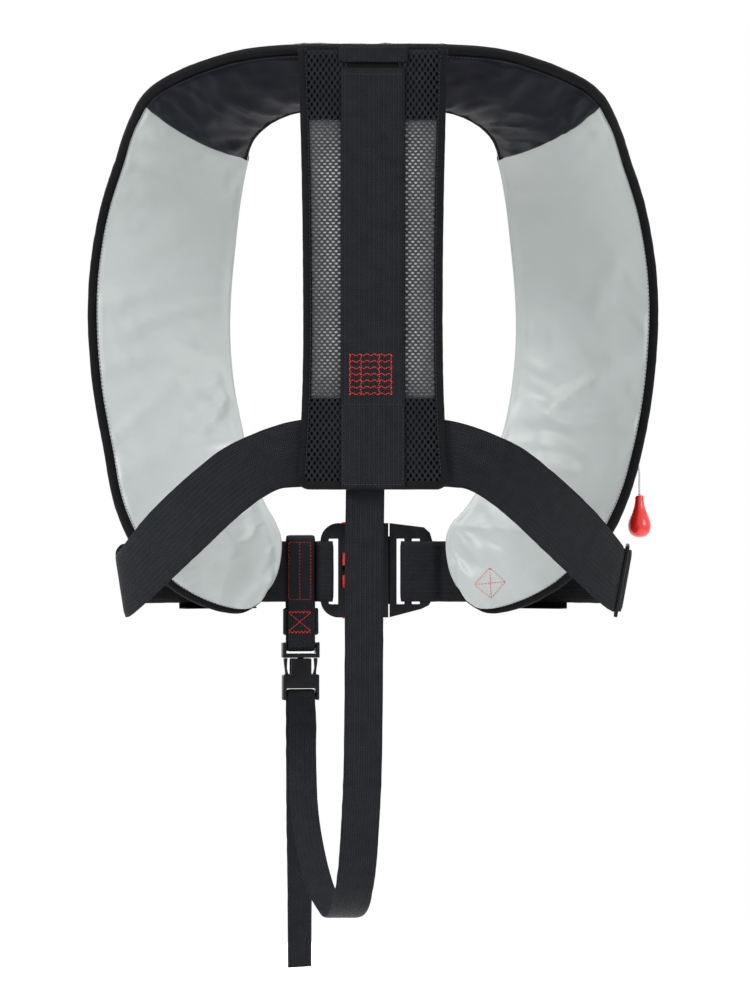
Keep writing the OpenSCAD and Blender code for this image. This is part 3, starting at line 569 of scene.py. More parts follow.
def flange(u):
    return lookup(abs(u), [(0, FLANGE_W), (12, FLANGE_W), (14, FLANGE_W * 0.6), (TIP, FLANGE_W * 0.2)])


def binding_width(u):
    return lookup(abs(u), [(0, BINDING_W), (13, BINDING_W), (TIP, BINDING_W * 0.6)])


def depth(u):
    return lookup(abs(u), [
        (0, COLLAR_THICK), (1, COLLAR_THICK + 2), (2, COLLAR_THICK + 10), (3, LOBE_THICK - 10),
        (4, LOBE_THICK - 3), (5, LOBE_THICK), (9, LOBE_THICK - 2), (10, LOBE_THICK - 16),
        (11, TIP_THICK + 2), (12, TIP_THICK), (14, TIP_THICK), (TIP, TIP_THICK - 2),
    ])


def skin(u, t, d):
    """Point at station u, t of the way to the outer edge and d out from the lining's inner face."""
    inner, outer, out = frame_at(u)
    return inner * (1 - t) + outer * t + out * (d - swell(u) * 4 * t * (1 - t))


DOME_POWER = 2.5  # 2 is an ellipse, more is squarer
TUCK = 1.5  # a panel's edge goes this far under its binding
# The lobes' lining rolls round the inner edge: across it from the edge, and out
ROLL = [(-1.3, 4.0), (-1.5, 1.2), (-1.4, -0.9), (-0.4, -2.0)]
ROLL_LIFT = 2.1
LIP = 4  # columns of points in the strip that joins a cover to the inner binding


def dome(u, t):
    """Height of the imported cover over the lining."""
    x = min(1, t * width(u) / (width(u) - flange(u)))
    return EDGE_THICK + (depth(u) - EDGE_THICK) * sqrt(max(0, 1 - abs(2 * x - 1) ** DOME_POWER))


def flat(u, t):
    return 0.0


# A sheet with its sewn points, its cut size and area in metres, and the way each point faces
Panel = namedtuple("Panel", "obj sewn size area facing")


def seam_lean(u, t):
    """The shoulder seam runs aslant, nearer the neck at the outer edge."""
    near = max(0, 1 - abs(abs(u) - SEAM) / 1.5)
    return u - (1 if u > 0 else -1) * 0.45 * max(0, t) ** 1.3 * near


def panel(name, u0, u1, height, material, slot, columns, step=5.0, seed=0, rough=0.35, side=1, rolled=False):
    """A panel between two stations, its edges under the binding, seeded with slight unevenness."""
    spine = distances([skin(u0 + (u1 - u0) * i / 200, 0.5, 0) for i in range(201)])
    rows = ceil(spine[-1] / step)
    points, uvs, facing = [], [], []
    start = 2.0 if rolled else INNER_BINDING_W - TUCK
    for i in range(rows + 1):
        u = round(u0 + (u1 - u0) * i / rows, 5)
        t0 = start / width(u)
        t1 = 1 - (binding_width(u) - TUCK) / width(u)
        line = [(w / width(u), d) for w, d in ROLL] if rolled else []
        if side > 0:
            top = height(u, t0)
            line = [(t0, EDGE_THICK - 1 + (top - EDGE_THICK + 1) * k / LIP) for k in range(LIP)]
        for j in range(columns + 1):
            t = t0 + (t1 - t0) * (j / columns - 0.06 * sin(2 * pi * j / columns))
            lift = -ROLL_LIFT * 0.5 ** ((t * width(u) / 3.5) ** 2) if rolled else 0
            line.append((t, height(u, t) + lift))
        for t, d in line:
            v = round(seam_lean(u, t) if side < 0 else u, 5)
            p = skin(v, t, d)
            out = frame_at(v)[2]
            if 0.01 < t:
                p += out * rough * ripple(p, 17, seed)
            points.append(p)
            facing.append(out * side)
            drop = top - d if side > 0 and t == t0 else 0
            uvs.append(((t * width(u) - drop) * MM, spine[round(200 * i / rows)] * MM))
    wide = len(points) // (rows + 1)
    obj = make(name, points, grid_faces(rows + 1, wide), material, uvs, slot=slot, turn_out=False)
    added = wide - columns - 1  # points of the roll or the lip, before the panel's own
    sewn = [
        i * wide + j for i in range(rows + 1) for j in range(wide)
        if i in (0, rows) or j <= added or j == wide - 1
    ]
    size = (max(width(u0 + (u1 - u0) * i / 20) for i in range(21)) * MM, spine[-1] * MM)
    return Panel(obj, sewn, size, sum(face.area for face in obj.data.polygons), facing)


CLOTH = {
    "vertex_group_mass": "sewn", "quality": 6, "mass": 0.15, "tension_stiffness": 20,
    "compression_stiffness": 20, "shear_stiffness": 10, "use_pressure": True,
}


def settle(jobs, frames=24):
    """Runs the cloth of all jobs at once: (panel, extra cloth, pressure, stiffness, caps out and in, in mm).

    Sideways a point moves at most half as far as inwards.
    """
    for piece, extra, pressure, stiffness, _, _ in jobs:
        group = piece.obj.vertex_groups.new(name="sewn")
        group.add(piece.sewn, 1, "REPLACE")
        cloth = piece.obj.modifiers.new("cloth", "CLOTH")
        for key, value in CLOTH.items():
            setattr(cloth.settings, key, value)
        cloth.settings.bending_stiffness = stiffness
        cloth.settings.shrink_min = -extra
        cloth.settings.uniform_pressure_force = pressure
        cloth.settings.effector_weights.gravity = 0
        cloth.collision_settings.use_collision = False
        cloth.point_cache.frame_start = 1
        cloth.point_cache.frame_end = frames
    for k in range(1, frames + 1):
        scene.frame_set(k)
    graph = bpy.context.evaluated_depsgraph_get()
    for piece, _, _, _, cap_out, cap_in in jobs:
        obj = piece.obj
        settled = [v.co.copy() for v in obj.evaluated_get(graph).data.vertices]
        obj.modifiers.clear()
        obj.vertex_groups.clear()
        for vertex, co, facing in zip(obj.data.vertices, settled, piece.facing):
            move = co - vertex.co
            rise = move.dot(facing)
            cap = (cap_out if rise > 0 else cap_in) * MM
            aside = move - facing * rise
            vertex.co += facing * rise * cap / (cap + abs(rise))
            vertex.co += aside * 0.5 * cap_in * MM / (cap_in * MM + aside.length)
        obj.data.update()
    scene.frame_set(1)


CREASE_SLOPE, CREASE_SWAY = 0.35, 14  # creases lean across the cloth, and wander by as many mm
CREASE_NARROW = 3.4  # more makes thinner creases
CREASE_FADE = 14  # mm from a long edge in which they die out


def ridge(value):
    return max(0, 1 - abs(value) * CREASE_NARROW) ** 1.5


def crease(piece, size, depth_mm, seed):
    """Soft creases that fan across the cloth, raised only away from what lies under it."""
    sewn = set(piece.sewn)
    uvs = {}
    for loop in piece.obj.data.loops:
        uvs[loop.vertex_index] = piece.obj.data.uv_layers["cloth"].data[loop.index].uv
    for vertex, facing in zip(piece.obj.data.vertices, piece.facing):
        if vertex.index in sewn:
            continue
        across, down = uvs[vertex.index] / MM
        lean = across * CREASE_SLOPE + CREASE_SWAY * ripple((across / 2, down, 0), 90, seed + 2)
        fold = ripple((across * 0.38, down + lean, 0), size, seed)
        fine = ripple((across * 0.5, (down - lean) * 1.2, 9), size * 0.45, seed + 1)
        patch = 0.5 + 0.5 * ripple((across, down, 31), size * 3.2, seed + 3)
        sharp = ridge(fold) + 0.45 * ridge(fine)
        fade = min(1, across / CREASE_FADE, (piece.size[0] / MM - across) / CREASE_FADE)
        vertex.co += facing * depth_mm * MM * sharp * patch * max(0.15, fade)


def copy_of(node):
    """A node's mesh to work on, with its corners joined."""
    bm = bmesh.new()
    bm.from_mesh(nodes[node].data)
    bmesh.ops.remove_doubles(bm, verts=bm.verts, dist=1e-6)
    return bm


def piece_from(bm, name, material, body, slot):
    obj = make(name, [], [], material, body=body, slot=slot, turn_out=False)
    bm.to_mesh(obj.data)
    bm.free()
    obj.data.shade_smooth()
    return obj


def drawn_in(name, node, material, slot, most=12.0, share=0.3):
    """A node's shape drawn in by some of its thickness, which leaves room for the cloth over it."""
    bm = copy_of(node)
    bmesh.ops.recalc_face_normals(bm, faces=bm.faces)
    tree = BVHTree.FromBMesh(bm)
    moves = []
    for vertex in bm.verts:
        inward = -vertex.normal
        thick = tree.ray_cast(vertex.co + inward * 0.1 * MM, inward)[3] or 0
        moves.append(inward * min(most * MM, thick * share))
    for vertex, move in zip(bm.verts, moves):
        vertex.co += move
    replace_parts(piece_from(bm, name, material, "jacket", slot), node)


def lobe_lining(name, u0, u1, seed):
    return panel(name, u0, u1, flat, GREY, "coated_lining", 34, 4, seed, 0.3, -1, True)


drawn_in("bladder_fold", "bladder", BLADDER, "bladder_fabric")
LOBE_TO = 14.8
covers = {
    "collar_cover": panel("cover_collar", -SEAM, SEAM, dome, COVER, "cover_fabric", 40, 5, 1),
    "lobe_cover_right": panel("cover_lobe_right", SEAM, LOBE_TO, dome, COVER, "cover_fabric", 40, 5, 2),
    "lobe_cover_left": panel("cover_lobe_left", -LOBE_TO, -SEAM, dome, COVER, "cover_fabric", 40, 5, 3),
}
linings = {
    "collar_lining": panel("lining_collar", -SEAM, SEAM, flat, NAVY, "collar_lining_fabric", 26, 4, 4,
                           0.3, -1),
    "lobe_lining_right": lobe_lining("lining_lobe_right", SEAM, LOBE_TO, 5),
    "lobe_lining_left": lobe_lining("lining_lobe_left", -LOBE_TO, -SEAM, 6),
}
settle(
    [(piece, 0.012, 0.4, 1.5, 5, 1.2) for piece in covers.values()]
    + [(piece, 0.022, -0.5, 1.2, 7, 0.35) for piece in linings.values()]
)
for seed, (node, piece) in enumerate((covers | linings).items()):
    crease(piece, 38, 1.5 if node in covers else 5.0, seed)
    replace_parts(piece.obj, node)


def across(u):
    inner, outer, _ = frame_at(u)
    return (outer - inner).normalized()


def binding_ring(p, inward, w, u):
    out = frame_at(u)[2]
    low, high = -1.2, EDGE_THICK + 1.2
    return [p + out * low, p + inward * w + out * low, p + inward * w + out * high, p + out * high]


def tip_ring(side):
    u = side * TIP
    inner, outer, _ = frame_at(u)
    middle = inner * 0.55 + outer * 0.45
    inner_before, outer_before, _ = frame_at(u - 0.1 * side)
    ahead = ((inner + outer) - (inner_before + outer_before)).normalized()
    return binding_ring(middle + ahead * 2, -ahead, INNER_BINDING_W, u)


half_steps = [k / 2 for k in range(-2 * TIP, 2 * TIP + 1)]
edge_rows = [binding_ring(frame_at(u)[1], -across(u), binding_width(u), u) for u in half_steps]
edge_rows.append(tip_ring(1))
edge_rows += [binding_ring(frame_at(u)[0], across(u), INNER_BINDING_W, u) for u in reversed(half_steps)]
edge_rows.append(tip_ring(-1))
edge = bound("binding_edge", edge_rows, 8, closed=True)
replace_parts(edge, "edge_binding")

# ---- sewing ----


# A stitch, as how far along it, how thick and how high each of its rings is
STITCH = [(0, 0.35, -0.5), (0.2, 0.95, 0.4), (0.5, 1, 0.7), (0.8, 0.95, 0.4), (1, 0.35, -0.5)]


def stitches(name, lines, material, pitch, share, radius):
    """Short pills of thread along lines of (point, normal), in millimetres."""
    points, faces, sides = [], [], 5
    for line in lines:
        lengths = distances([p for p, _ in line])
        count = max(1, round(lengths[-1] / pitch))

        def at(s):
            i = next((k for k in range(1, len(lengths)) if lengths[k] >= s), len(lengths) - 1)
            f = (s - lengths[i - 1]) / max(1e-6, lengths[i] - lengths[i - 1])
            return line[i - 1][0].lerp(line[i][0], f), line[i][1]

        for k in range(count):
            s0 = lengths[-1] * (k + (1 - share) / 2) / count
            s1 = lengths[-1] * (k + (1 + share) / 2) / count
            (a, up), (b, _) = at(s0), at(s1)
            if (b - a).length < 0.1:
                continue
            run = (b - a).normalized()
            side = run.cross(up).normalized()
            first = len(points)
            for f, r, lift in STITCH:
                centre = a.lerp(b, f) + up * radius * lift
                points += [centre + (side * c + up * s) * radius * r for c, s in circle(sides)]
            faces += [tuple(first + i for i in f) for f in grid_faces(len(STITCH), sides, close_columns=True)]
    return make(name, points, faces, material)


def tree_for(obj):
    """For finding where a line of sewing meets a piece that is built."""
    points = [obj.matrix_world @ v.co / MM for v in obj.data.vertices]
    return BVHTree.FromPolygons(points, [tuple(p.vertices) for p in obj.data.polygons])


def drape(tree, line, start=-400.0, step=1.5):
    """Points of a line drawn in x and z behind the jacket, laid on the piece in front of it."""
    ray = Vector((0, 1, 0))
    found = []
    for (x0, z0), (x1, z1) in zip(line, line[1:]):
        n = max(1, ceil(sqrt((x1 - x0) ** 2 + (z1 - z0) ** 2) / step))
        for k in range(n + 1):
            origin = Vector((x0 + (x1 - x0) * k / n, start, z0 + (z1 - z0) * k / n))
            hit, normal, _, _ = tree.ray_cast(origin, ray)
            if hit:
                found.append((hit, normal if normal.dot(ray) < 0 else -normal))
    return found


def zigzag(x0, x1, z, height, pitch):
    """A row of zigzag sewing."""
    n = max(2, round((x1 - x0) / pitch))
    return [(x0 + (x1 - x0) * k / n, z + (height if k % 2 else 0)) for k in range(n + 1)]


def box_lines(x0, x1, z0, z1):
    return [(x0, z0), (x1, z0), (x1, z1), (x0, z1), (x0, z0)]


# ---- back panel ----


# Where the back panel is narrowest, and how much wider each half is at its top and bottom
PANEL_NARROW_Z, TOP_FLARE, BOTTOM_FLARE = -180, 4, 5


def panel_half(z):
    rise = z - PANEL_NARROW_Z
    if rise > 0:
        return PANEL_HALF_W + TOP_FLARE * (rise / (PANEL_TOP - PANEL_NARROW_Z)) ** 2
    return PANEL_HALF_W + BOTTOM_FLARE * (rise / (PANEL_NARROW_Z - PANEL_BOTTOM)) ** 2


def slab(name, z0, z1, inset, y0, y1, crown, material, slot, corner=0.0):
    """A flat padded sheet in the back panel, its face crowned and its rim rounded."""
    columns, rows = 30, max(8, round((z1 - z0) / 6))
    rings, uvs = [], []
    for i in range(rows + 1):
        z = z0 + (z1 - z0) * i / rows
        half = panel_half(z) - inset
        if corner and z - z0 < corner:
            half -= corner - sqrt(max(0, corner**2 - (corner - (z - z0)) ** 2))
        ring = []
        for face in (-1, 1):
            for j in range(columns + 1):
                s = (j / columns * 2 - 1) * -face
                along_z = 2 * i / rows - 1
                puff = (1 - abs(s) ** 6) * (1 - abs(along_z) ** 10)
                y = (y0 - crown * puff) if face < 0 else y1 + crown * 0.3 * puff
                edge_in = 0.5 * (1 - puff) * (y1 - y0) * 0.4
                p = Vector((s * half, y + edge_in * -face, z))
                ring.append(p + Vector((0, 0.3 * ripple((s * half, 0, z), 22), 0)))
                uvs.append((s * half * MM, z * MM))
        rings.append(ring)
    return tube(name, rings, material, uvs=uvs, slot=slot)


NET_FROM = 20  # nearer the middle the strap hides the net


def net(name, z0, z1, inset, y, crown, pitch, row_pitch, hole, material, slot, depth_mm=0.6):
    """Knitted net: rounded strands round staggered oval holes, out to the panel's edge."""
    loops = 12
    points, faces = [], []
    rows = int((z1 - z0) / row_pitch)
    for i in range(rows):
        z = z0 + (i + 0.5) * (z1 - z0) / rows
        half = panel_half(z) - inset
        shift = pitch / 2 if i % 2 else 0
        for j in range(-ceil(half / pitch) - 1, ceil(half / pitch) + 2):
            x = j * pitch + shift
            if abs(x) > half + pitch / 2 or abs(x) < NET_FROM:
                continue
            h1, h2 = row_pitch * 2 / 3, row_pitch / 3
            corners = [
                (0, h1), (pitch / 2, h2), (pitch / 2, -h2), (0, -h1), (-pitch / 2, -h2), (-pitch / 2, h2),
            ]
            border = []
            for (ax, az), (bx, bz) in zip(corners, corners[1:] + corners[:1]):
                border += [(ax, az), ((ax + bx) / 2, (az + bz) / 2)]
            first = len(points)
            slope = 0.12 * sin(i * 1.7 + j * 2.3)
            for ring, back in ((1.0, 0.0), (0.45, -0.35), (0.0, 0.1), (-0.12, depth_mm)):
                for bx, bz in border:
                    angle = atan2(bx / pitch, bz / row_pitch)
                    hx, hz = hole[0] * sin(angle), hole[1] * cos(angle)
                    px = x + hx + (bx - hx) * ring
                    pz = z + hz + (bz - hz) * ring
                    bulge = crown * (1 - abs(px / half) ** 6) if abs(px) < half else 0
                    points.append((px, y - bulge + back + slope * (1 - ring), pz))
            faces += [tuple(first + n for n in f) for f in grid_faces(4, loops, close_columns=True)]
    return make(name, points, faces, material, slot=slot)


PANEL_IN = PANEL_BINDING_W - 1
base_panel = slab("panel_base", PANEL_BOTTOM + 1, PANEL_TOP - 4, 2, -128, -126.2, 0.0, PANEL,
                  "cover_fabric", 9)
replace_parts(base_panel, "back_base_panel")
mesh_backing = slab("mesh_backing", PAD_SPLIT + 1, MESH_SPLIT - 1, PANEL_IN, PAD_Y + 2.4, -128.2, 0.4,
                    NET_BACKING, "grey_mesh")
net("net_grey", PAD_SPLIT + 1, MESH_SPLIT - 1, PANEL_IN, PAD_Y + 1.6, 0.4, 4.4, 2.4, (1.42, 0.86),
    NET_DARK, "grey_mesh")
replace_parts(mesh_backing, "back_mesh")
for name, node, z0, z1 in (
    ("upper", "back_pad_upper", MESH_SPLIT - 2, PANEL_TOP - 1),
    ("lower", "back_pad_lower", PANEL_BOTTOM + PANEL_BINDING_W - 1, PAD_SPLIT + 2),
):
    pad = slab("pad_" + name, z0, z1, PANEL_IN, PAD_Y + 1.6, -128.3, 1.0, RUBBER, "black_mesh")
    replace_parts(pad, node)
    net("net_black_" + name, z0, z1, PANEL_IN, PAD_Y + 0.7, 1.0, 4.5, 3.25, (1.15, 1.55),
        NET_BLACK, "black_mesh")


def panel_side(z0, z1, corner, steps=12):
    """The panel's right side from its bottom middle, round the corner and up."""
    line = [Vector((x, 0, z0)) for x in (0, 18, 36)]
    half = panel_half(z0)
    for a in range(0, 91, 15):
        line.append(Vector((half - corner * (1 - sin(radians(a))), 0, z0 + corner * (1 - cos(radians(a))))))
    for k in range(1, steps + 1):
        z = z0 + (z1 - z0) * k / steps
        line.append(Vector((panel_half(z), 0, z)))
    return line


half_line = panel_side(PANEL_BOTTOM, PANEL_TOP, 10)
outline = [Vector((-p.x, 0, p.z)) for p in reversed(half_line[1:])] + half_line
panel_rows = []
for i, p in enumerate(outline):
    run = (outline[min(i + 1, len(outline) - 1)] - outline[max(i - 1, 0)]).normalized()
    inward = run.cross(Vector((0, 1, 0))) * -1
    if inward.dot(Vector((0, 0, -130)) - p) < 0:
        inward = -inward
    front, rear = Vector((0, PAD_Y - 0.6, 0)), Vector((0, -127.2, 0))
    inner = p + inward * PANEL_BINDING_W
    panel_rows.append([p + front, inner + front, inner + rear, p + rear])
panel_binding = bound("binding_panel", panel_rows, 5)
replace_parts(panel_binding, "back_binding")

# ---- straps ----


STRAP_TOP, STRAP_STEPS = 22, 90
strap_rows = []
for k in range(STRAP_STEPS + 1):
    z = STRAP_TOP + (PANEL_BOTTOM + 1 - STRAP_TOP) * k / STRAP_STEPS
    strap_rows.append([(x, BACK_Y + BELT_THICK / 2, z) for x in (BELT_W / 2, -BELT_W / 2)])
strap = webbing("strap_back", strap_rows, BELT_THICK, 0.35)
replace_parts(strap, "back_strap")

# The keeper is the strap's end folded on itself, with its fold downwards
KEEPER_LOW, KEEPER_TOP = 26.6, 38.6
fold = [
    (BACK_Y + 0.5, KEEPER_TOP), (BACK_Y + 0.4, KEEPER_LOW + 4), (BACK_Y + 0.5, KEEPER_LOW + 1),
    (BACK_Y + 1.1, KEEPER_LOW), (BACK_Y + 1.7, KEEPER_LOW + 1), (BACK_Y + 1.8, KEEPER_LOW + 4),
    (BACK_Y + 1.8, KEEPER_TOP),
]
keeper_w = BELT_W / 2 + 2
keeper_rows = smooth_rows([(Vector((keeper_w, y, z)), Vector((-keeper_w, y, z))) for y, z in fold], 3)
keeper = webbing("keeper_fold", keeper_rows, 0.9, 0.1)
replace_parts(keeper, "collar_keeper")


def on_waist(bearing, r, z):
    return Vector((r * sin(radians(bearing)), WAIST_Y + r * cos(radians(bearing)), z))


def front_row(bearing, r):
    return [on_waist(bearing, r, BELT_Z + BELT_W / 2), on_waist(bearing, r, BELT_Z - BELT_W / 2)]


HOUSING_IN = WAIST_R - BUCKLE_THICK / 2 + 0.5
HOUSING_OUT = WAIST_R + BUCKLE_THICK / 2 + 0.5
WRAP = BELT_THICK / 2 + 0.3
HOUSING_LOOP = [
    (-17, WAIST_R + 3.1), (-9.55, WAIST_R + 3.1), (-9.15, WAIST_R + 5), (-8.8, HOUSING_OUT + WRAP),
    (-7.4, HOUSING_OUT + WRAP), (-6.95, HOUSING_OUT + 0.6), (-6.82, HOUSING_OUT - 2), (-6.8, WAIST_R + 0.5),
    (-6.84, HOUSING_IN + 2), (-6.98, HOUSING_IN - 0.6), (-7.5, HOUSING_IN - WRAP), (-9, HOUSING_IN - WRAP),
    (-9.3, WAIST_R - 4), (-9.65, WAIST_R - 0.3), (-12, WAIST_R),
]
FRONT_ANGLE, OUTER_LAYER = 41.8, 3.6
ADJUSTER = (
    Matrix.Translation((199.4, 10.2, -376.3)) @ Matrix.Rotation(radians(-2), 4, "Z")
    @ Matrix.Rotation(radians(10), 4, "Y") @ Matrix.Rotation(radians(3), 4, "X")
)
WEAVE = [(-18.5, -3), (-11.6, -3), (-3, 3), (3, 3), (11.6, -3), (18.5, -3)]


def belt_row(u):
    return [along(BELT_TOP, u), along(BELT_LOW, u)]


belt_rows = (
    [front_row(*p) for p in HOUSING_LOOP]
    + [front_row(a, WAIST_R) for a in range(-15, -40, -3)]
    + [belt_row(k / 4) for k in range(-28, 20)]
    + [[ADJUSTER @ Vector((lift, y, side * BELT_W / 2)) for side in (1, -1)] for y, lift in WEAVE]
    + [belt_row(u) for u in (6.3, 6.6, 6.9)]
    + [front_row(a, WAIST_R + (FRONT_ANGLE - a) / 5 * OUTER_LAYER) for a in (FRONT_ANGLE - 1, 39, 37)]
    + [front_row(a, WAIST_R + OUTER_LAYER) for a in (35, 32, 29, 26, 23, 20)]
)
belt = webbing("belt_waist", smooth_rows(belt_rows, 3), BELT_THICK, 0.2)
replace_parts(belt, "waist_belt")

TONGUE_LOOP = [
    (13.5, 2.6), (11.2, 2.6), (10.5, 4.4), (9.9, 5.3), (7.9, 5.3), (6.4, 5.3), (5, 5.2), (4.74, 3.6),
    (4.7, 0), (4.74, -3.1), (5, -4.7), (6.4, -4.8), (7.9, -4.8), (9.9, -4.8), (10.6, -3.4), (11.4, -0.4),
    (12.5, 0), (14.5, 0), (17, 0), (19.5, 0), (22, 0), (24.5, 0),
]
tongue_rows = smooth_rows([front_row(a, WAIST_R + r) for a, r in TONGUE_LOOP], 3)
tongue_web = webbing("webbing_tongue", tongue_rows, BELT_THICK - 0.2, 0.1, body="buckle_tongue")
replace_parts(tongue_web, "tongue_webbing")


def strap_row(p, w, turn):
    half = Vector((cos(radians(turn)), sin(radians(turn)), 0)) * w / 2
    return [Vector(p) - half, Vector(p) + half]


def crotch_row(r, z, turn, w=CROTCH_FRONT_W):
    return strap_row(on_waist(CROTCH_TURN, r, z), w, turn)


LOOP_IN, LOOP_OUT = WAIST_R - 3.3, WAIST_R + 6.4
BELT_LOOP = [
    (WAIST_R + 0.6, -436.4), (LOOP_IN + 0.7, -433.5), (LOOP_IN, -428), (LOOP_IN, -388), (LOOP_IN, -350),
    (LOOP_IN + 1.4, -343.6), (WAIST_R + 1.6, -341.6), (LOOP_OUT - 1.4, -343.6), (LOOP_OUT, -350),
    (LOOP_OUT, -388), (LOOP_OUT - 0.4, -420), (WAIST_R + 4.7, -433.5), (WAIST_R + 2.8, -436.4),
]
loop_rows = smooth_rows([crotch_row(r, z, -CROTCH_TURN) for r, z in BELT_LOOP], 5)
belt_loop = webbing("loop_crotch", loop_rows, CROTCH_THICK, 0.1)
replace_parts(belt_loop, "crotch_belt_loop")

SOCKET_TURN = [
    (-3.6, -481, 12), (-3, -472.5, 12), (-0.6, -469.2, 12), (2.2, -469.2, 12), (4.6, -472.5, 12),
    (5, -481, 12), (5, -505, 13), (5, -530, 16), (6, -570, 22), (5, -600, 26), (4.5, -630, 30),
    (4.5, -698, 34),
]
crotch_rows = [strap_row(p, CROTCH_BACK_W, 0) for p in CROTCH_BACK[:-1]]
crotch_rows.append(strap_row(CROTCH_BACK[-1], (CROTCH_BACK_W + CROTCH_FRONT_W) / 2 + 1, 0))
crotch_rows += [strap_row(p[:3], CROTCH_FRONT_W, p[3]) for p in CROTCH_FRONT]
crotch_rows += [crotch_row(WAIST_R + r, z, turn) for r, z, turn in SOCKET_TURN]
crotch = webbing("strap_crotch", smooth_rows(crotch_rows, 8), CROTCH_THICK, 0.12, body=None)
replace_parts(crotch, "crotch_strap_back", "crotch_strap_front")
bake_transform(crotch)

# ---- sewing that shows ----

back_tree = tree_for(strap)
BLOCK_LEFT, BLOCK_RIGHT, BLOCK_LOW, BLOCK_TOP = -18.5, 15, -231, -200
block = [
    drape(back_tree, zigzag(BLOCK_LEFT, BLOCK_RIGHT, z, 2.2, 2.8)) for z in range(BLOCK_LOW, BLOCK_TOP, 5)
]
block += [
    drape(back_tree, [(x + (1.6 if k % 2 else 0), BLOCK_LOW + 2 * k) for k in range(17)])
    for x in (BLOCK_LEFT, -10, 4, 13.4)
]
stitches("sewing_back_block", block, RED_THREAD, 2.2, 0.85, 0.3)
lobe_tree = tree_for(linings["lobe_lining_right"].obj)
DIAMOND, REACH = (95.5, -380), 12.5
corners = [
    (DIAMOND[0] + REACH * x, DIAMOND[1] + REACH * z) for x, z in ((0, 1), (1, 0.1), (0.1, -1), (-1, -0.1))
]
diamond = corners + corners[:1]
stitches("sewing_diamond", [drape(lobe_tree, diamond), drape(lobe_tree, [corners[0], corners[2]]),
                            drape(lobe_tree, [corners[1], corners[3]])], RED_THREAD, 2.6, 0.7, 0.28)
loop_tree = tree_for(belt_loop)
LOOP_X = (-69.5, -51.5)
loop_sewing = [drape(loop_tree, box_lines(*LOOP_X, -394, -347)),
               drape(loop_tree, [(-60.5, -394), (-60.5, -347)])]
stitches("sewing_belt_loop", loop_sewing, RED_THREAD, 2.8, 0.45, 0.28)
cross = [drape(loop_tree, zigzag(*LOOP_X, z, 2.6, 1.5)) for z in (-405.5, -422)]
cross += [drape(loop_tree, list(zip(LOOP_X, ends))) for ends in ((-420, -405), (-405, -420))]
stitches("sewing_cross", cross, RED_THREAD, 2.0, 0.85, 0.28)


def edge_sewing(height, side, from_edge=1.4):
    """A line of sewing along the horseshoe's binding, on its lining (side -1) or its cover (side 1)."""
    line = []
    for k in range(295):
        u = round(-14.7 + 0.1 * k, 2)
        t = 1 - (binding_width(u) - from_edge) / width(u)
        line.append((skin(u, t, height), frame_at(u)[2] * side))
    return line


binding_sewing = [edge_sewing(-1.25, -1), edge_sewing(EDGE_THICK + 1.25, 1)]
stitches("sewing_binding", binding_sewing, BLACK_THREAD, 3.2, 0.7, 0.28)
panel_sewing = [
    [
        (Vector((side * (panel_half(z) - PANEL_BINDING_W + 1.3), PAD_Y - 0.7, z)), Vector((0, -1, 0)))
        for z in range(PANEL_BOTTOM + 12, PANEL_TOP, 6)
    ]
    for side in (-1, 1)
]
stitches("sewing_panel", panel_sewing, BLACK_THREAD, 3.0, 0.7, 0.28)
STRAP_LINE = BELT_W / 2 - 2
strap_sewing = [drape(back_tree, [(x, -300), (x, -238)]) for x in (-STRAP_LINE, STRAP_LINE)]
strap_sewing += [drape(back_tree, [(-STRAP_LINE, z), (STRAP_LINE, z)]) for z in (-300, -238, 17)]
stitches("sewing_strap", strap_sewing, BLACK_THREAD, 2.8, 0.7, 0.28)

# ---- moulded parts ----


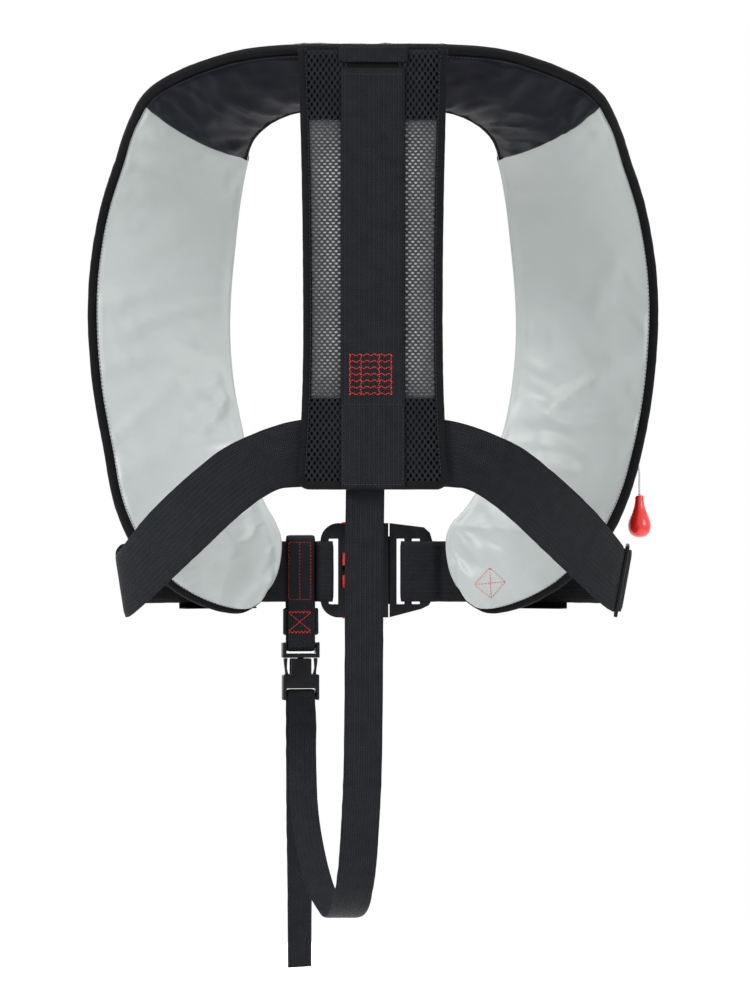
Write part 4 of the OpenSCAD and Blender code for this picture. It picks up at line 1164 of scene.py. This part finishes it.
def moulded(name, node, material, body, bevel, slot="black_plastic"):
    """A stand-in for a CAD solid: the same shape with rounded edges."""
    bm = copy_of(node)
    bmesh.ops.dissolve_limit(bm, angle_limit=radians(1.5), verts=bm.verts, edges=bm.edges)
    obj = piece_from(bm, name, material, body, slot)
    rounding = obj.modifiers.new("rounding", "BEVEL")
    rounding.width = bevel * MM
    rounding.segments = 3
    rounding.limit_method = "ANGLE"
    rounding.angle_limit = radians(35)
    rounding.harden_normals = True
    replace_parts(obj, node)


moulded("housing_rear", "buckle_housing_rear", BLACK_PLASTIC, "jacket", 1.3)
moulded("housing_front", "buckle_housing_front", BLACK_PLASTIC, "jacket", 1.3)
moulded("tongue_plate", "buckle_tongue", BLACK_PLASTIC, "buckle_tongue", 1.6)
moulded("button_top", "buckle_button_upper", RED_PLASTIC, "buckle_button_upper", 0.5, "red_plastic")
moulded("button_bottom", "buckle_button_lower", RED_PLASTIC, "buckle_button_lower", 0.5, "red_plastic")
moulded("adjuster_frame", "belt_adjuster", BLACK_PLASTIC, "jacket", 0.7)
moulded("ring_strap", "strap_ring", BLACK_PLASTIC, "jacket", 1.7)
moulded("insert_crotch", "crotch_buckle_insert", BLACK_PLASTIC, "jacket", 1.4)
moulded("prong_left", "crotch_prong_left", BLACK_PLASTIC, "crotch_prong_left", 0.5)
moulded("prong_right", "crotch_prong_right", BLACK_PLASTIC, "crotch_prong_right", 0.5)
moulded("socket_crotch", "crotch_buckle_socket", BLACK_PLASTIC, "crotch_socket", 1.4)
moulded("keeper_sleeve_left", "belt_keeper_left", TAPE, "jacket", 0.5, "binding_tape")
moulded("keeper_sleeve_right", "belt_keeper_right", TAPE, "jacket", 0.5, "binding_tape")

FINISHES = {
    BLACK_THREAD: ["closure_loop_tape", "closure_hook_tape"],
    BLADDER: ["bladder"],
    BLACK_PLASTIC: [
        "inflator_body", "inflator_manifold", "manifold_nut", "cord_eyelet", "oral_manifold", "whistle_clip",
    ],
    YELLOW_PLASTIC: ["inflator_cartridge_cap", "whistle"],
    STEEL: ["lever_pin", "co2_cylinder"],
    RED_PLASTIC: ["inflator_lever", "oral_valve", "oral_cap"],
    RUBBER: ["oral_tube"],
}
for material, names in FINISHES.items():
    for name in names:
        slots = nodes[name].material_slots
        if not slots:
            nodes[name].data.materials.append(material)
        for material_slot in slots:
            material_slot.material = material
